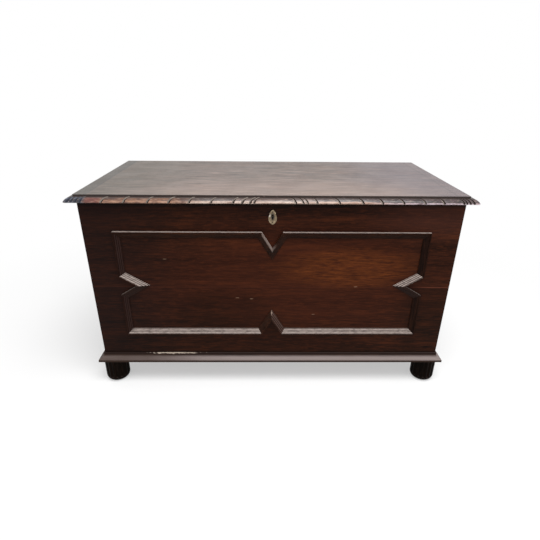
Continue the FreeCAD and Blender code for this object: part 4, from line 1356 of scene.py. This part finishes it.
def slotted_screw(slot_depth):
    """A countersunk screw with its head's face at the origin, pointing down."""
    disc = {"vertices": HEAD_SIDES, "radius": HEAD_RADIUS, "fill_type": "NGON"}
    screw = added(bpy.ops.mesh.primitive_circle_add, **disc)
    open_mesh(screw)
    pull_down((0.0, 0.0, 0.0), HEAD_DEPTH, SHANK_RADIUS / HEAD_RADIUS)
    pull_down((0.0, 0.0, 0.0), SCREW_LENGTH - HEAD_DEPTH, POINT_TAPER)
    close_mesh()
    point_outwards(screw)
    paint(screw, screw_brass)
    slot = added(bpy.ops.mesh.primitive_cube_add, size=1.0)
    slot.scale = (3 * HEAD_RADIUS, SLOT_WIDTH, 2 * slot_depth)
    settle(slot, "slot_cutter")
    paint(slot, slot_dirt)
    cut_away(screw, slot, {})
    return settle(screw, "screw")


# %% Driving screws
def drive_screws(name, spots, tip, body, slot_depth, replaced=None):
    """Copies of one screw at each spot, tipped over as one; they ride on a body and may replace a node."""
    master = slotted_screw(slot_depth)
    screws = []
    for number, spot in enumerate(spots):
        screw = copy_of(master, f"{name}_{number}")
        screw.rotation_euler = (0.0, 0.0, chance.uniform(0.0, math.pi))
        settle(screw, screw.name)
        screw.rotation_euler = (tip, 0.0, 0.0)
        screw.location = spot
        screws.append(settle(screw, screw.name))
    bpy.data.objects.remove(master)
    group = joined(screws, name)
    soften(group, CRISP)
    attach(group, body)
    if replaced:
        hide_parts(replaced)
    print(name, len(spots), "screws,", len(group.data.polygons), "faces")


# %% Hinge screws
FACE_DOWN = math.pi
HINGE_SLOT = 1.0 * MM

for node, body, tip in (("hinge_screws_carcass", "carcass", 0.0), ("hinge_screws_lid", "lid", FACE_DOWN)):
    low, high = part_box(node)
    face = low.z if tip else high.z
    leaf_low, leaf_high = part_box("hinge_right_leaf_" + body)
    middle = (leaf_low.x + leaf_high.x) / 2
    reach = high.x - HEAD_RADIUS - middle
    row = (low.y + high.y) / 2
    spots = [(side * middle + step * reach, row, face) for side in (-1, 1) for step in (-1, 1)]
    drive_screws("slotted_" + node, spots, tip, body, HINGE_SLOT, node)

# %% Lock and link plate screws
FACE_BACK = -math.pi / 2
PLATE_INSET = 5.5 * MM
PROUD = 0.5 * MM
THIN_PROUD = 0.12 * MM
CASE_SLOT = 0.45 * MM
THIN_SLOT = 0.08 * MM

lock_low, lock_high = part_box("lock_case")
screw_x = lock_high.x - PLATE_INSET
case_rows = (lock_low.z + PLATE_INSET, lock_high.z - 2 * PLATE_INSET)
case_spots = [(side * screw_x, INSIDE_FRONT + PROUD, z) for side in (-1, 1) for z in case_rows]
drive_screws("lock_screws", case_spots, FACE_BACK, "carcass", CASE_SLOT)
selvedge_middle = (lock_low.y + lock_high.y) / 2
rim_spots = [(side * screw_x, selvedge_middle, RIM + THIN_PROUD) for side in (-1, 1)]
drive_screws("selvedge_screws", rim_spots, 0.0, "carcass", THIN_SLOT)
link_spots = [(side * screw_x, selvedge_middle, LID_UNDER - THIN_PROUD) for side in (-1, 1)]
drive_screws("link_plate_screws", link_spots, FACE_DOWN, "lid", THIN_SLOT)
